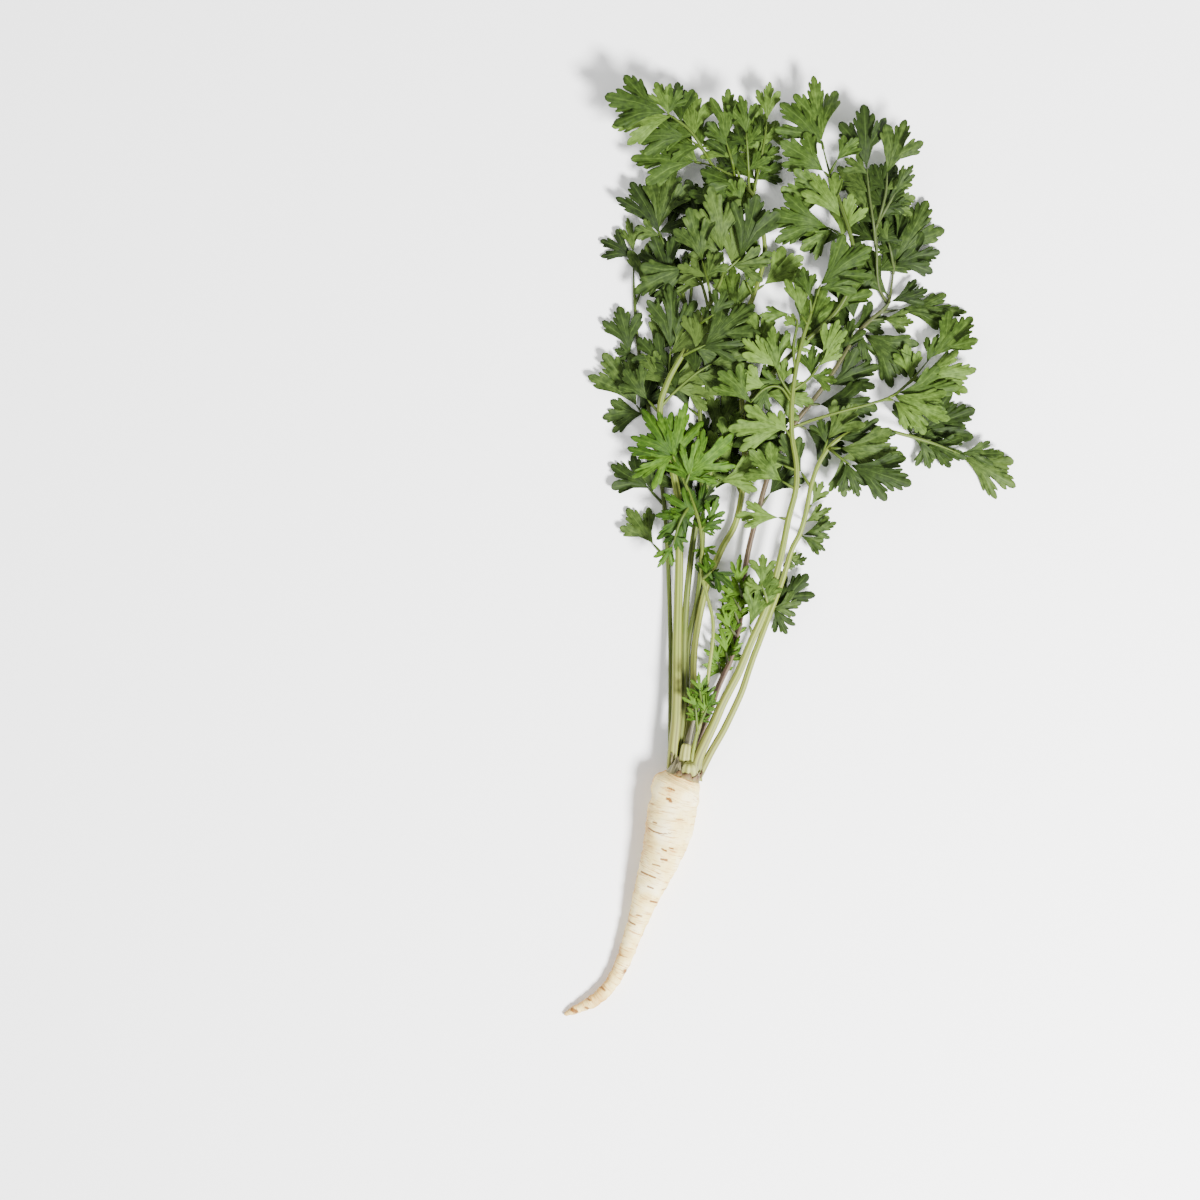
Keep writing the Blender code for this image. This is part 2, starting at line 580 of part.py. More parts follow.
def in_row(point):
    return ((point[0] - SHIFT_X) * MM, (point[1] - SHIFT_Y) * MM, point[2] * MM)


def sweep(builder, path, radius, sides, first_facing=None, last_facing=None, open_end=False, relief=None):
    """A tube along a path, with a flat face at its ends; open_end leaves the last one open."""
    path = np.asarray(path, float)
    rings = []
    for i, centre in enumerate(path):
        facing = path[min(i + 1, len(path) - 1)] - path[max(i - 1, 0)]
        if i == 0 and first_facing is not None:
            facing = first_facing
        if i == len(path) - 1 and last_facing is not None:
            facing = last_facing
        facing = facing / np.linalg.norm(facing)
        across = np.cross(facing, (0.0, 0.0, 1.0))
        across /= np.linalg.norm(across)
        up = np.cross(across, facing)
        ring = []
        for k in range(sides):
            angle = 2 * math.pi * (k + 0.5) / sides
            grow = 1.0 if relief is None else relief(i, angle)
            out = across * math.cos(angle) + up * math.sin(angle)
            ring.append(builder.verts.new(in_row(centre + out * radius[i] * grow)))
        rings.append(ring)
    for low, high in zip(rings, rings[1:]):
        for k in range(sides):
            builder.faces.new((low[k], low[(k + 1) % sides], high[(k + 1) % sides], high[k]))
    builder.faces.new(rings[0])
    if not open_end:
        builder.faces.new(rings[-1])
    return rings


def thin_out(path, radius, step):
    """The same stalk with fewer rings, kept closer together where it bends."""
    keep = [0]
    gone = 0.0
    for i in range(1, len(path) - 1):
        gone += np.linalg.norm(path[i] - path[i - 1])
        before = path[i] - path[keep[-1]]
        after = path[min(i + 2, len(path) - 1)] - path[i]
        bend = np.dot(before, after) / (np.linalg.norm(before) * np.linalg.norm(after))
        if gone >= step or (gone >= step * 0.45 and bend < 0.985):
            keep.append(i)
            gone = 0.0
    keep.append(len(path) - 1)
    return path[keep], radius[keep]


def add_blade(builder, corners, ends=None):
    """A leaflet with the same triangles above and below; ends are the stalk's last corners, if it grows from them."""
    half = BLADE_THICKNESS / 2
    last = len(corners) - 1
    top = []
    low = []
    for i, corner in enumerate(corners):
        if ends and i in (1, last):
            top.append(ends[0 if i == 1 else 1])
            low.append(ends[3 if i == 1 else 2])
        else:
            top.append(builder.verts.new(in_row(corner + np.array([0, 0, half]))))
            low.append(builder.verts.new(in_row(corner - np.array([0, 0, half]))))
    for a in range(1, len(corners)):
        b = a % last + 1
        faces = [builder.faces.new((top[0], top[a], top[b])), builder.faces.new((low[0], low[b], low[a]))]
        if not (ends and a == last):
            faces.append(builder.faces.new((top[a], low[a], low[b])))
            faces.append(builder.faces.new((top[a], low[b], top[b])))
        for face in faces:
            face.material_index = 1


def spray_objects(name, twig, twig_radius, blades, colours, collection):
    """A side stalk that widens into its end leaflet, and its other leaflets, each sunk into it."""
    builder = bmesh.new()
    path, thick = thin_out(twig, twig_radius, TWIG_STEP)
    first = blades[0]
    ahead = first[0] - path[-1]
    ahead[2] = 0.0
    before = path[-1] - path[-2]
    facing = ahead / np.linalg.norm(ahead) + before / np.linalg.norm(before)
    rings = sweep(builder, path, thick, TWIG_SIDES, last_facing=facing, open_end=True)
    add_blade(builder, first, rings[-1])
    to_object(name, builder, colours, collection)
    for i, corners in enumerate(blades[1:]):
        builder = bmesh.new()
        add_blade(builder, corners)
        to_object(f"{name} side {i}", builder, colours, collection)


def apply_modifiers(made):
    graph = bpy.context.evaluated_depsgraph_get()
    joined = bpy.data.meshes.new_from_object(made.evaluated_get(graph))
    plain = made.data
    made.modifiers.clear()
    made.data = joined
    bpy.data.meshes.remove(plain)


def make_leaf(leaf, scene):
    name, colours, main, radius, twigs, blades = leaf
    facing = np.array([math.cos(CROWN_HEADING), math.sin(CROWN_HEADING), 0.0])
    builder = bmesh.new()
    path, thick = thin_out(main, radius, STALK_STEP)
    sweep(builder, path, thick, STALK_SIDES if blades else STUB_SIDES, first_facing=facing)
    made = to_object(name, builder, colours, scene)
    if not blades:
        return made
    repeats = bpy.data.collections.new(name + " repeats")
    scene.children.link(repeats)
    first = 0
    for i, (twig, twig_radius, count) in enumerate(twigs):
        spray_objects(f"{name} spray {i}", twig, twig_radius, blades[first:first + count], colours, repeats)
        first += count
    join = made.modifiers.new("join", "BOOLEAN")
    join.operand_type = "COLLECTION"
    join.collection = repeats
    join.operation = "UNION"
    join.solver = "MANIFOLD"
    apply_modifiers(made)
    for piece in list(repeats.objects):
        bpy.data.objects.remove(piece)
    bpy.data.collections.remove(repeats)
    keep_one_body(made)
    return made


def keep_one_body(made):
    """Takes out the slivers of the union, the walls of a sealed hollow and any scrap, and keeps the large body."""
    builder = bmesh.new()
    builder.from_mesh(made.data)
    bmesh.ops.triangulate(builder, faces=builder.faces)
    bmesh.ops.dissolve_degenerate(builder, dist=SHORTEST_EDGE, edges=builder.edges)
    bmesh.ops.triangulate(builder, faces=builder.faces)
    waiting = set(builder.faces)
    bodies = []
    while waiting:
        body = [waiting.pop()]
        for face in body:
            for edge in face.edges:
                for near in edge.link_faces:
                    if near in waiting:
                        waiting.remove(near)
                        body.append(near)
        bodies.append(body)
    bodies.sort(key=len)
    scraps = [face for body in bodies[:-1] for face in body]
    bmesh.ops.delete(builder, geom=scraps, context="FACES")
    builder.to_mesh(made.data)
    builder.free()


def root_relief(path):
    """Low rings and lumps of the root's skin, as a factor on its radius."""
    along = np.concatenate([[0], np.cumsum(np.linalg.norm(np.diff(path[:, :2], axis=0), axis=1))])

    def relief(i, angle):
        s = along[i]
        size = path[i, 2]
        ring = RING_RELIEF * math.sin(2 * math.pi * s / 11.5 + 0.8 * math.sin(angle * 2 + s * 0.05))
        lump = 0.022 * math.sin(2.0 * angle + s * 0.045) + 0.016 * math.sin(3.0 * angle - s * 0.09 + 1.0)
        notch = -0.10 * math.exp(-((s - 17.5) / 3.0) ** 2) * max(0.0, -math.cos(angle)) ** 4
        return 1.0 + ring / max(size, 3.0) + lump * ramp(s / 20.0) + notch

    return relief


def make_root(scene):
    path = smooth_route(ROOT_AXIS, ROOT_STEP)
    radius = path[:, 2].copy()
    resting = ramp((RESTING_FROM + 12.0 - path[:, 1]) / 12.0) * ramp((path[:, 1] - RESTING_TO + 12.0) / 12.0)
    height = radius + RESTING_RISE - (RESTING_CUT + RESTING_RISE) * resting
    height[0] = CROWN[2]
    height[1] = 0.5 * (height[1] + CROWN[2])
    centres = np.column_stack([path[:, :2], height])
    builder = bmesh.new()
    facing = -np.array([math.cos(CROWN_HEADING), math.sin(CROWN_HEADING), 0.0])
    rings = sweep(builder, centres, radius, ROOT_SIDES, facing, relief=root_relief(path))
    lip = rings[0]
    for k, vertex in enumerate(lip):
        angle = 2 * math.pi * (k + 0.5) / ROOT_SIDES
        up = math.sin(angle)
        out = np.cross(facing, (0.0, 0.0, 1.0))
        point = np.array(CROWN) + out * math.cos(angle) * 11.2 + np.array([0, 0, up * 13.3])
        vertex.co = in_row(point)
    for vertex in builder.verts:
        vertex.co.z = max(vertex.co.z, 0.0)
    return to_object("root", builder, ("root",), scene)


def main():
    for old in list(bpy.data.objects):
        bpy.data.objects.remove(old)
    scene = bpy.context.scene.collection
    make_root(scene)
    for leaf in lay_plant():
        make_leaf(leaf, scene)


main()
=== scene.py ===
"""Looks of the parsley root: a washed cream taproot, ribbed stalks and fine lobed leaflets.

The layout is in millimetres as drawn from above; in_row() turns it to metres in the part's frame.
"""

import math
import random

import bmesh
import bpy
import numpy as np
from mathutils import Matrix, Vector


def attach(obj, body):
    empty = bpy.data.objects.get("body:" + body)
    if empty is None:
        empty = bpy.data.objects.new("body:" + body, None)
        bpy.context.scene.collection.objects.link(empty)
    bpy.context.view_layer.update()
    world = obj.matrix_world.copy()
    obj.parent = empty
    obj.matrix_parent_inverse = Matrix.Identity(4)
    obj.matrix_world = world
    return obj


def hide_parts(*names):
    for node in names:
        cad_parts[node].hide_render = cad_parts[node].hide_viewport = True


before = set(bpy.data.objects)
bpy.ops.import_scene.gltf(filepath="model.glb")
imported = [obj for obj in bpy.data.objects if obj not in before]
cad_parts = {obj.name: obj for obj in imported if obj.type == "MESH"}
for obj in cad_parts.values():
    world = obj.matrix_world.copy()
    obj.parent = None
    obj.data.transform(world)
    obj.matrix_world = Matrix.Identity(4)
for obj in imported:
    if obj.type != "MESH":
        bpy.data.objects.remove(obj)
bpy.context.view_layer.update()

MM = 0.001
SEED = 41
SHIFT = np.array([3.5, 0.8, 0.0])
UP = np.array([0.0, 0.0, 1.0])

# Root: x, y and radius of the section from the crown to the tail's end.
ROOT_AXIS = (
    (-67.8, -145.5, 10.4), (-69.6, -150.0, 13.4), (-72.4, -156.0, 15.9), (-74.1, -161.5, 15.7), (-75.6, -170.0, 15.5),
    (-76.9, -179.0, 15.2), (-79.2, -189.0, 14.0), (-82.2, -199.0, 12.6), (-87.1, -212.0, 10.7), (-92.3, -225.6, 8.6),
    (-97.2, -240.5, 6.7), (-101.4, -252.2, 5.8), (-105.4, -264.0, 5.2), (-110.2, -274.6, 4.6), (-116.6, -284.2, 4.3),
    (-125.0, -291.9, 4.1), (-133.8, -296.6, 3.1), (-139.6, -299.3, 2.4), (-144.2, -301.6, 1.2),
)
# The root's flat resting spot: where it starts and ends, how deep it is cut, and the gap under the rest of the root.
RESTING_FROM, RESTING_TO = -158.0, -188.0
RESTING_CUT, RESTING_RISE = 1.0, 0.35

# The crown: its middle, the way it faces, the direction across it, its half width and half height.
CROWN = np.array([-67.8, -145.5, 15.3])
CROWN_TURN = math.radians(70.0)
OUTWARD = np.array([math.cos(CROWN_TURN), math.sin(CROWN_TURN), 0.0])
LEVEL = np.array([math.sin(CROWN_TURN), -math.cos(CROWN_TURN), 0.0])
CROWN_WIDE, CROWN_HIGH = 11.2, 13.3
SEAT_GAP = 0.35

# Steps in mm along a stalk as it is laid and as it is piled, and along the finer leaves, stubs and root.
LAID_STEP, PILED_STEP, LEAF_STEP, STUB_STEP, ROOT_STEP = 4.0, 1.5, 2.2, 0.7, 0.62
# How far from the crown a leaf's stalk is down on what lies below it.
DOWN_AFTER = 150.0
# Foot and end radius of a side stalk with one or two leaflets, and with more.
SIDE_RADII, WIDE_SIDE_RADII = (1.05, 0.85), (1.2, 0.9)

# Gaps in mm: between a leaf and what it lies on, between stalks, and between the leaflets of one leaf.
LAY_GAP, STALK_GAP, OWN_GAP, LOW_GAP = 1.0, 0.5, 0.4, 0.75
OWN_RISE = 5.0
FOOT_FREE = 7.0
LOW_DROOP = 0.35
BLADE_HALF = 0.4

# The grid on which heights of the pile are kept: cell size, first corner, columns and rows.
CELL = 3.0
GRID_X, GRID_Y = -186.0, -330.0
GRID_COLUMNS, GRID_ROWS = 126, 222

# Half of a coarse leaflet's outline: breadth and length from its foot, as parts of its length.
LARGE_HALF = ((0.032, 0.0), (0.40, 0.46), (0.36, 0.56), (0.43, 0.73), (0.13, 0.53), (0.25, 0.82), (0.13, 0.86))
MIDDLE_HALF = ((0.035, 0.0), (0.41, 0.50), (0.42, 0.74), (0.13, 0.53), (0.25, 0.82), (0.13, 0.86))
SMALL_HALF = ((0.045, 0.0), (0.42, 0.56), (0.14, 0.56), (0.24, 0.84))
MIDDLE_FROM, LARGE_FROM = 29.5, 38.0
BLADE_TIP, BLADE_HUB, BLADE_FOOT = (0.0, 1.0), (0.0, 0.36), (0.0, 0.0)

# Each leaf: name, seat on the crown across and up, radius at foot, middle and end, route, side stalks. A route is
# the x and y of its points in turn. A side stalk is its route, and heading in degrees, length and breadth of each
# of its leaflets.
LEAVES = (
    ("leaf_1", (-8.4, -3.0), (1.7, 1.5, 0.9), (
        -76, -128, -76, -100, -76, -60, -77, -20, -80, 30, -88, 80, -96, 125, -99, 160, -100, 191,
    ), (
        ((-100, 188, -100, 193), (97, 23, 0.4), (150, 24, 0.95)), ((-99, 160, -94, 171), (84, 29, 0.9)),
        ((-96, 125, -102, 128), (100, 31, 0.95), (165, 14, 0.85)), ((-95, 120, -88, 127), (62, 31, 0.9)),
        ((-88, 80, -98, 94), (118, 40, 1), (62, 25, 0.9)), ((-80, 30, -90, 40), (150, 29, 0.95), (95, 24, 0.9)),
        ((-77, -8, -87, 4), (125, 29, 0.95)),
    )),
    ("leaf_4", (-3.4, -10.2), (1.9, 1.9, 1.0), (
        -69, -128, -65.5, -95, -64.3, -60, -58, -30, -55, 10, -56, 60, -58, 110, -64, 150, -74, 185, -84, 206,
    ), (
        ((-82, 202, -84, 207), (78, 41, 0.95), (116, 38, 0.9), (20, 24, 0.9)),
        ((-64, 150, -60, 190, -54, 207), (116, 34, 0.9)), ((-74, 185, -83, 203), (166, 17, 0.95)),
        ((-66, 158, -76, 174), (112, 34, 0.95)), ((-57, 85, -64, 92), (112, 31, 0.9)),
        ((-57, 90, -49, 100), (75, 31, 0.95)), ((-56, 60, -48, 72), (62, 36, 0.95)),
        ((-55, 20, -62, 34), (120, 29, 0.95)),
    )),
    ("leaf_5", (1.8, -11.5), (2.1, 2.2, 1.2), (
        -66, -129, -61.5, -95, -60.2, -62, -53, -25, -43, 0, -33, 20, -28, 55, -30, 100, -31, 140, -22, 165,
        -15.5, 188, -16, 206, -21, 226, -33, 239, -48, 247, -60, 250,
    ), (
        ((-57, 250, -61, 250), (179, 41, 0.85), (133, 30, 0.95)), ((-21, 226, -25, 233), (163, 34, 1)),
        ((-31, 238, -34, 245), (112, 28, 1)), ((-48, 247, -58, 258, -66, 264), (172, 34, 0.95)),
        ((-52, 252, -64, 268, -79, 279), (163, 41, 0.95), (192, 39, 0.7), (112, 23, 0.95), (60, 18, 0.85)),
        ((-34, 240, -41, 262), (82, 33, 0.7), (128, 20, 0.85)), ((-22, 228, -20, 250), (94, 38, 0.85)),
        ((-21, 232, -16, 262, -14, 277), (89, 24, 0.6)), ((-24, 232, -28, 266), (95, 25, 0.85)),
        ((-18, 214, -32, 222), (165, 34, 0.95), (120, 20, 0.95)), ((-31, 135, -34, 151), (96, 33, 0.9)),
        ((-21, 167, -15, 172), (35, 31, 0.95)), ((-22, 165, -27, 173), (78, 29, 0.95)),
        ((-29, 80, -24, 92), (60, 34, 0.95)), ((-30, 35, -36, 50), (125, 31, 0.95)),
        ((-31, 60, -22, 66), (40, 30, 0.95)),
    )),
    ("leaf_8", (5.2, -9.0), (1.8, 1.9, 1.2), (
        -60.5, -134, -55.5, -117, -49.5, -102, -45.5, -90, -41, -80, -36.5, -70, -33, -55, -30, -40, -28.5, -20,
        -25.5, 0, -20, 22, -12, 50, 2, 78, 21, 103, 33, 121, 46, 141, 56, 151, 65, 159, 68, 173, 69.5, 187,
    ), (
        ((69, 181, 70, 188), (56, 44, 0.85), (14, 31, 0.95), (98, 44, 0.5)), ((69, 184, 65, 199), (128, 17, 0.95)),
        ((64, 158, 59, 172, 57, 196, 56, 214), (82, 39, 0.85), (112, 34, 0.6), (52, 34, 0.6)),
        ((57, 190, 52, 226, 50, 245), (95, 41, 0.85), (140, 18, 0.85)),
        ((57, 205, 62, 228, 63, 242), (70, 36, 0.85)), ((58, 208, 68, 229), (62, 21, 0.4)),
        ((66, 162, 65, 166), (136, 34, 0.95)), ((61, 155, 72, 156), (2, 45, 0.35)),
        ((60, 154, 67, 161), (14, 25, 0.7)), ((54, 149, 62, 150), (-10, 20, 0.85)),
        ((45, 140, 50, 140), (-33, 43, 0.85), (-78, 21, 0.85)), ((42, 135, 43, 150), (104, 37, 1)),
        ((31, 118, 35, 126), (78, 25, 0.95)), ((21, 103, 28, 107), (24, 34, 0.95)),
        ((14, 95, 21, 94), (2, 37, 0.95)), ((5, 82, 12, 78), (-30, 31, 0.95)), ((-18, 28, -12, 36), (50, 31, 0.95)),
        ((-41.5, -81, -45, -73), (106, 17, 0.6)), ((-38, -74, -40, -66), (96, 19, 0.6)),
        ((-36.8, -71, -36, -66), (64, 12, 0.6)), ((-34, -58, -38, -50), (108, 18, 0.6)),
        ((-32, -48, -35, -40), (96, 19, 0.5)), ((-30.2, -40, -36, -31), (112, 18, 0.6)),
        ((-29.5, -32, -33, -22), (92, 19, 0.5)),
    )),
    ("leaf_3", (-4.6, -5.6), (2.1, 2.1, 1.2), (
        -70.5, -128, -67.8, -100, -67.3, -60, -64.5, -20, -58, 25, -44, 65, -22, 100, 4, 128, 25, 147, 35, 160,
        41.5, 175, 42, 188, 39, 204, 33, 222, 26, 242, 21, 261,
    ), (
        ((22, 257, 21, 263), (99, 42, 0.55), (130, 38, 0.95)), ((27, 238, 22, 243), (142, 34, 1)),
        ((27, 240, 30, 249), (48, 20, 0.95)), ((36, 214, 30, 227), (170, 36, 0.85)),
        ((37, 210, 33, 214), (125, 34, 0.9)), ((42, 190, 33, 203, 25, 208), (168, 41, 0.9), (205, 25, 0.9)),
        ((25, 147, 31, 153), (58, 31, 0.95)), ((6, 130, 10, 136), (64, 37, 0.95), (10, 31, 0.95)),
        ((-8, 116, -14, 124), (118, 34, 0.95)), ((-22, 100, -29, 105), (112, 36, 0.95)),
        ((-44, 65, -37, 66), (22, 36, 0.95), (75, 25, 0.95)), ((-52, 44, -44, 44), (10, 29, 0.95)),
        ((-20, 102, -14, 101), (-12, 31, 0.95)),
    )),
    ("leaf_2", (-7.4, 2.6), (3.3, 2.8, 1.3), (
        -74.3, -128, -72.3, -104, -71.8, -60, -70.5, -10, -71, 30, -77, 62, -83, 88, -78, 108, -67, 128, -57, 146,
        -49, 162, -42.5, 177, -42.5, 190,
    ), (
        ((-42.5, 185, -43, 192), (101, 41, 0.9), (150, 25, 0.9)), ((-42.5, 178, -31, 188), (72, 41, 0.9)),
        ((-52, 156, -57, 173, -66, 181), (204, 37, 0.9)),
        ((-82, 92, -77.5, 112, -76, 130), (86, 41, 0.9), (46, 34, 0.9)), ((-83, 88, -91, 97), (128, 25, 0.95)),
        ((-82, 92, -73, 102, -60, 113, -50, 119), (14, 38, 0.9)),
        ((-68, 126, -54, 131), (42, 41, 0.9), (0, 30, 0.6)), ((-56, 147, -49, 150), (56, 18, 0.95)),
        ((-50, 161, -56, 186), (108, 34, 0.95)),
    )),
    ("leaf_6", (4.2, -4.6), (1.4, 1.2, 0.9), (
        -62, -131, -55.3, -104, -51.5, -76, -49.3, -58, -49.5, -44, -53.5, -28, -56.8, -13, -56, 2, -58, 18, -64, 36,
        -70, 50, -74.5, 60,
    ), (
        ((-73, 57, -75, 61), (124, 36, 0.9), (171, 31, 0.9), (79, 36, 0.9), (208, 30, 0.9)),
        ((-66, 41, -63.5, 50), (34, 37, 0.9), (78, 25, 0.9)), ((-58, 18, -62, 25), (214, 30, 0.9), (150, 25, 0.9)),
        ((-62, 30, -70, 18, -75, 2), (234, 17, 0.85)), ((-57, 12, -52, 18), (62, 17, 0.85), (20, 14, 0.85)),
        ((-56, 3, -55.5, -2), (288, 14, 0.6)), ((-55.5, -19, -50, -14), (322, 18, 0.95)),
    )),
    ("leaf_10", (8.6, -5.0), (2.4, 2.0, 1.0), (
        -56.5, -143, -49.5, -130, -42.5, -118, -38, -109, -33.3, -99, -29.5, -90, -26.3, -80, -22.5, -69, -19, -60,
        -11.5, -40, -4, -20, 2, 0, 7, 10, 11, 24, 14.5, 42, 20, 57, 29, 69, 42, 76, 58, 77.5, 76, 73.5, 95, 68,
        111, 62,
    ), (
        ((108, 63, 113, 61), (-29, 41, 0.7), (2, 30, 0.3)), ((76, 73.5, 81, 76), (18, 44, 0.85)),
        ((84, 71.5, 88, 70), (-22, 30, 0.7)), ((27, 67, 31, 71), (2, 38, 0.4)), ((26, 65, 33, 65), (-5, 41, 0.9)),
        ((25, 64, 32, 59, 39, 54), (-20, 41, 0.9), (-76, 24, 0.95)),
        ((22, 60, 25, 71), (58, 29, 0.95), (108, 18, 0.85)), ((14.5, 42, 8, 50), (120, 28, 0.95)),
        ((11.5, 26, 15, 29), (58, 17, 0.6)), ((9, 17, 12, 18), (36, 19, 0.5)),
        ((7, 9, 10, 9.5), (16, 23, 0.5), (-24, 19, 0.5)), ((1, -4, 3, -8), (14, 10, 0.85)),
        ((-11, -38, -8, -37), (48, 30, 0.95), (6, 19, 0.95), (-62, 19, 0.95)),
    )),
    ("leaf_9", (8.2, 1.0), (3.3, 2.4, 1.1), (
        -59.5, -137, -54, -124, -48, -111, -43.3, -100, -38.2, -90, -33, -80, -28.8, -70, -24.8, -60, -16, -40,
        -9.5, -20, -4.5, 0, -0.5, 20, 4, 38, 4.5, 54, 1.5, 75, 2, 99, 5.5, 122, 9.5, 138, 14.5, 153, 19, 167,
    ), (
        ((18, 164, 20, 170), (44, 41, 0.9), (12, 29, 0.6)), ((12, 145, 7.5, 151), (98, 30, 0.5)),
        ((14.5, 153, 13, 161), (106, 21, 0.6)), ((4, 112, 2.5, 130, 5, 146, 0, 151), (184, 20, 0.4)),
        ((2, 98, -5, 108, -9, 117), (142, 28, 0.6), (98, 30, 0.6)),
        ((1.8, 92, -6, 104, -16, 103, -25, 94), (132, 29, 0.9)),
        ((3, 100, 13, 110, 21, 121), (72, 29, 0.4), (40, 20, 0.4)),
        ((1.5, 77, 15, 83, 36, 89, 51, 93, 66, 98.5, 80, 110, 92, 124), (45, 38, 0.85), (75, 20, 0.6)),
        ((76, 106, 84, 112), (8, 38, 0.85)), ((64, 97.5, 71, 101), (2, 40, 0.7), (-28, 39, 0.85)),
        ((60, 96, 67, 96), (-50, 25, 0.6)), ((1.6, 70, -3, 78), (176, 37, 0.9), (130, 18, 0.85)),
        ((4.5, 50, -4, 54), (186, 17, 0.7)), ((-0.5, 20, -7, 20.5), (178, 28, 0.5)),
        ((2, 38, -5, 44), (140, 29, 0.95)), ((-23, -55, -25.5, -49), (76, 31, 0.6)),
        ((-14, -33, -19, -22), (86, 19, 0.95)),
    )),
    ("leaf_7", (3.4, 2.2), (1.1, 1.0, 0.8), (
        -62, -131, -59.7, -120, -57.5, -108, -56, -98,
    ), (
        ((-57, -102, -56, -97), (84, 17, 0.85)), ((-59, -115, -60.5, -100), (118, 13, 0.85), (84, 13, 0.6)),
        ((-58.6, -112, -53, -101), (54, 12, 0.85), (88, 14, 0.6)), ((-56.4, -100, -58, -90), (96, 12, 0.85)),
    )),
)
# Stubs of older stalks, in the same form.
STUBS = (
    ("broken_stalk", (0.0, -6.9), (2.3, 2.2, 0.7), (-66.6, -134, -65.2, -125, -62.5, -115, -59.5, -106), ()),
    ("cut_stalk_1", (-1.0, -0.6), (3.4, 3.3, 3.1), (-67.4, -136, -66.6, -130, -65.8, -125), ()),
    ("cut_stalk_2", (3.5, 8.3), (4.5, 4.4, 4.0), (-64.4, -142, -64.2, -137.2), ()),
)
# Order in which the stalks and leaves lie on one another, lowest first.
ORDER = (
    "leaf_1", "leaf_4", "leaf_5", "leaf_8", "leaf_3", "broken_stalk", "leaf_2", "leaf_6", "cut_stalk_1",
    "leaf_10", "leaf_9", "leaf_7", "cut_stalk_2",
)
YOUNG = ("leaf_6", "leaf_7")
# Places of the lower leaflet pairs, as shares of a side stalk longer than this many mm.
LOW_PAIRS = ((80, (0.82,)), (34, (0.42, 0.78)), (15, (0.6,)))
YOUNG_PAIRS = ((80, (0.82,)), (7, (0.42, 0.78)), (4, (0.6,)))


# ---------------------------------------------------------------- how the leaves lie

def travelled(path):
    """How far along a path each of its points lies."""
    return np.concatenate([[0], np.cumsum(np.linalg.norm(np.diff(path, axis=0), axis=1))])


def in_points(route):
    """A route's numbers as its points."""
    return np.reshape(route, (-1, 2))


def smooth_route(points, step):
    """Points at about equal steps on a smooth curve through the given ones."""
    knots = np.array(points, float)
    ends = np.vstack([2 * knots[0] - knots[1], knots, 2 * knots[-1] - knots[-2]])
    fine = []
    for i in range(1, len(ends) - 2):
        before, a, b, after = ends[i - 1:i + 3]
        for t in np.linspace(0, 1, 16, endpoint=False):
            curve = 2 * a + (b - before) * t + (2 * before - 5 * a + 4 * b - after) * t ** 2
            fine.append(0.5 * (curve + (3 * a - before - 3 * b + after) * t ** 3))
    fine = np.array(fine + [ends[-2]])
    lengths = travelled(fine)
    wanted = np.linspace(0, lengths[-1], max(3, int(math.ceil(lengths[-1] / step)) + 1))
    return np.stack([np.interp(wanted, lengths, values) for values in fine.T], axis=1)


def ramp(value):
    """A soft step from 0 to 1."""
    value = np.clip(value, 0.0, 1.0)
    return value * value * (3 - 2 * value)


def widest(values, reach):
    """The greatest value within reach of each, then averaged over the same reach, so never below the values."""
    for pick in (np.max, np.mean):
        padded = np.pad(values, reach, mode="edge")
        values = pick([padded[i:i + len(padded) - 2 * reach] for i in range(2 * reach + 1)], axis=0)
    return values


class Pile:
    """The height of what already lies there, on a grid seen from above."""

    def __init__(self, floor=0.05 - LAY_GAP, spread=4, blur=(2, 1)):
        self.top = np.full((GRID_COLUMNS, GRID_ROWS), floor)
        self.cover = self.top.copy()
        self.spread = spread
        self.blur = blur

    def add(self, points, rise):
        column = np.clip(((points[:, 0] - GRID_X) / CELL).astype(int), 0, GRID_COLUMNS - 1)
        row = np.clip(((points[:, 1] - GRID_Y) / CELL).astype(int), 0, GRID_ROWS - 1)
        np.maximum.at(self.top, (column, row), points[:, 2] + rise)

    def settle(self):
        """A smooth cover that is nowhere below what lies there."""
        self.cover = self.top
        for pick, reach in [(np.max, self.spread)] + [(np.mean, reach) for reach in self.blur]:
            for axis in (0, 1):
                moved = [np.roll(self.cover, k, axis) for k in range(-reach, reach + 1)]
                self.cover = pick(moved, axis=0)

    def height(self, points):
        """The height of the cover under a point, or under each of an array of them."""
        column = np.clip((points[..., 0] - GRID_X) / CELL - 0.5, 0, GRID_COLUMNS - 1.001)
        row = np.clip((points[..., 1] - GRID_Y) / CELL - 0.5, 0, GRID_ROWS - 1.001)
        i, j = column.astype(int), row.astype(int)
        u, v = column - i, row - j
        low = self.cover[i, j] * (1 - u) + self.cover[i + 1, j] * u
        high = self.cover[i, j + 1] * (1 - u) + self.cover[i + 1, j + 1] * u
        return low * (1 - v) + high * v


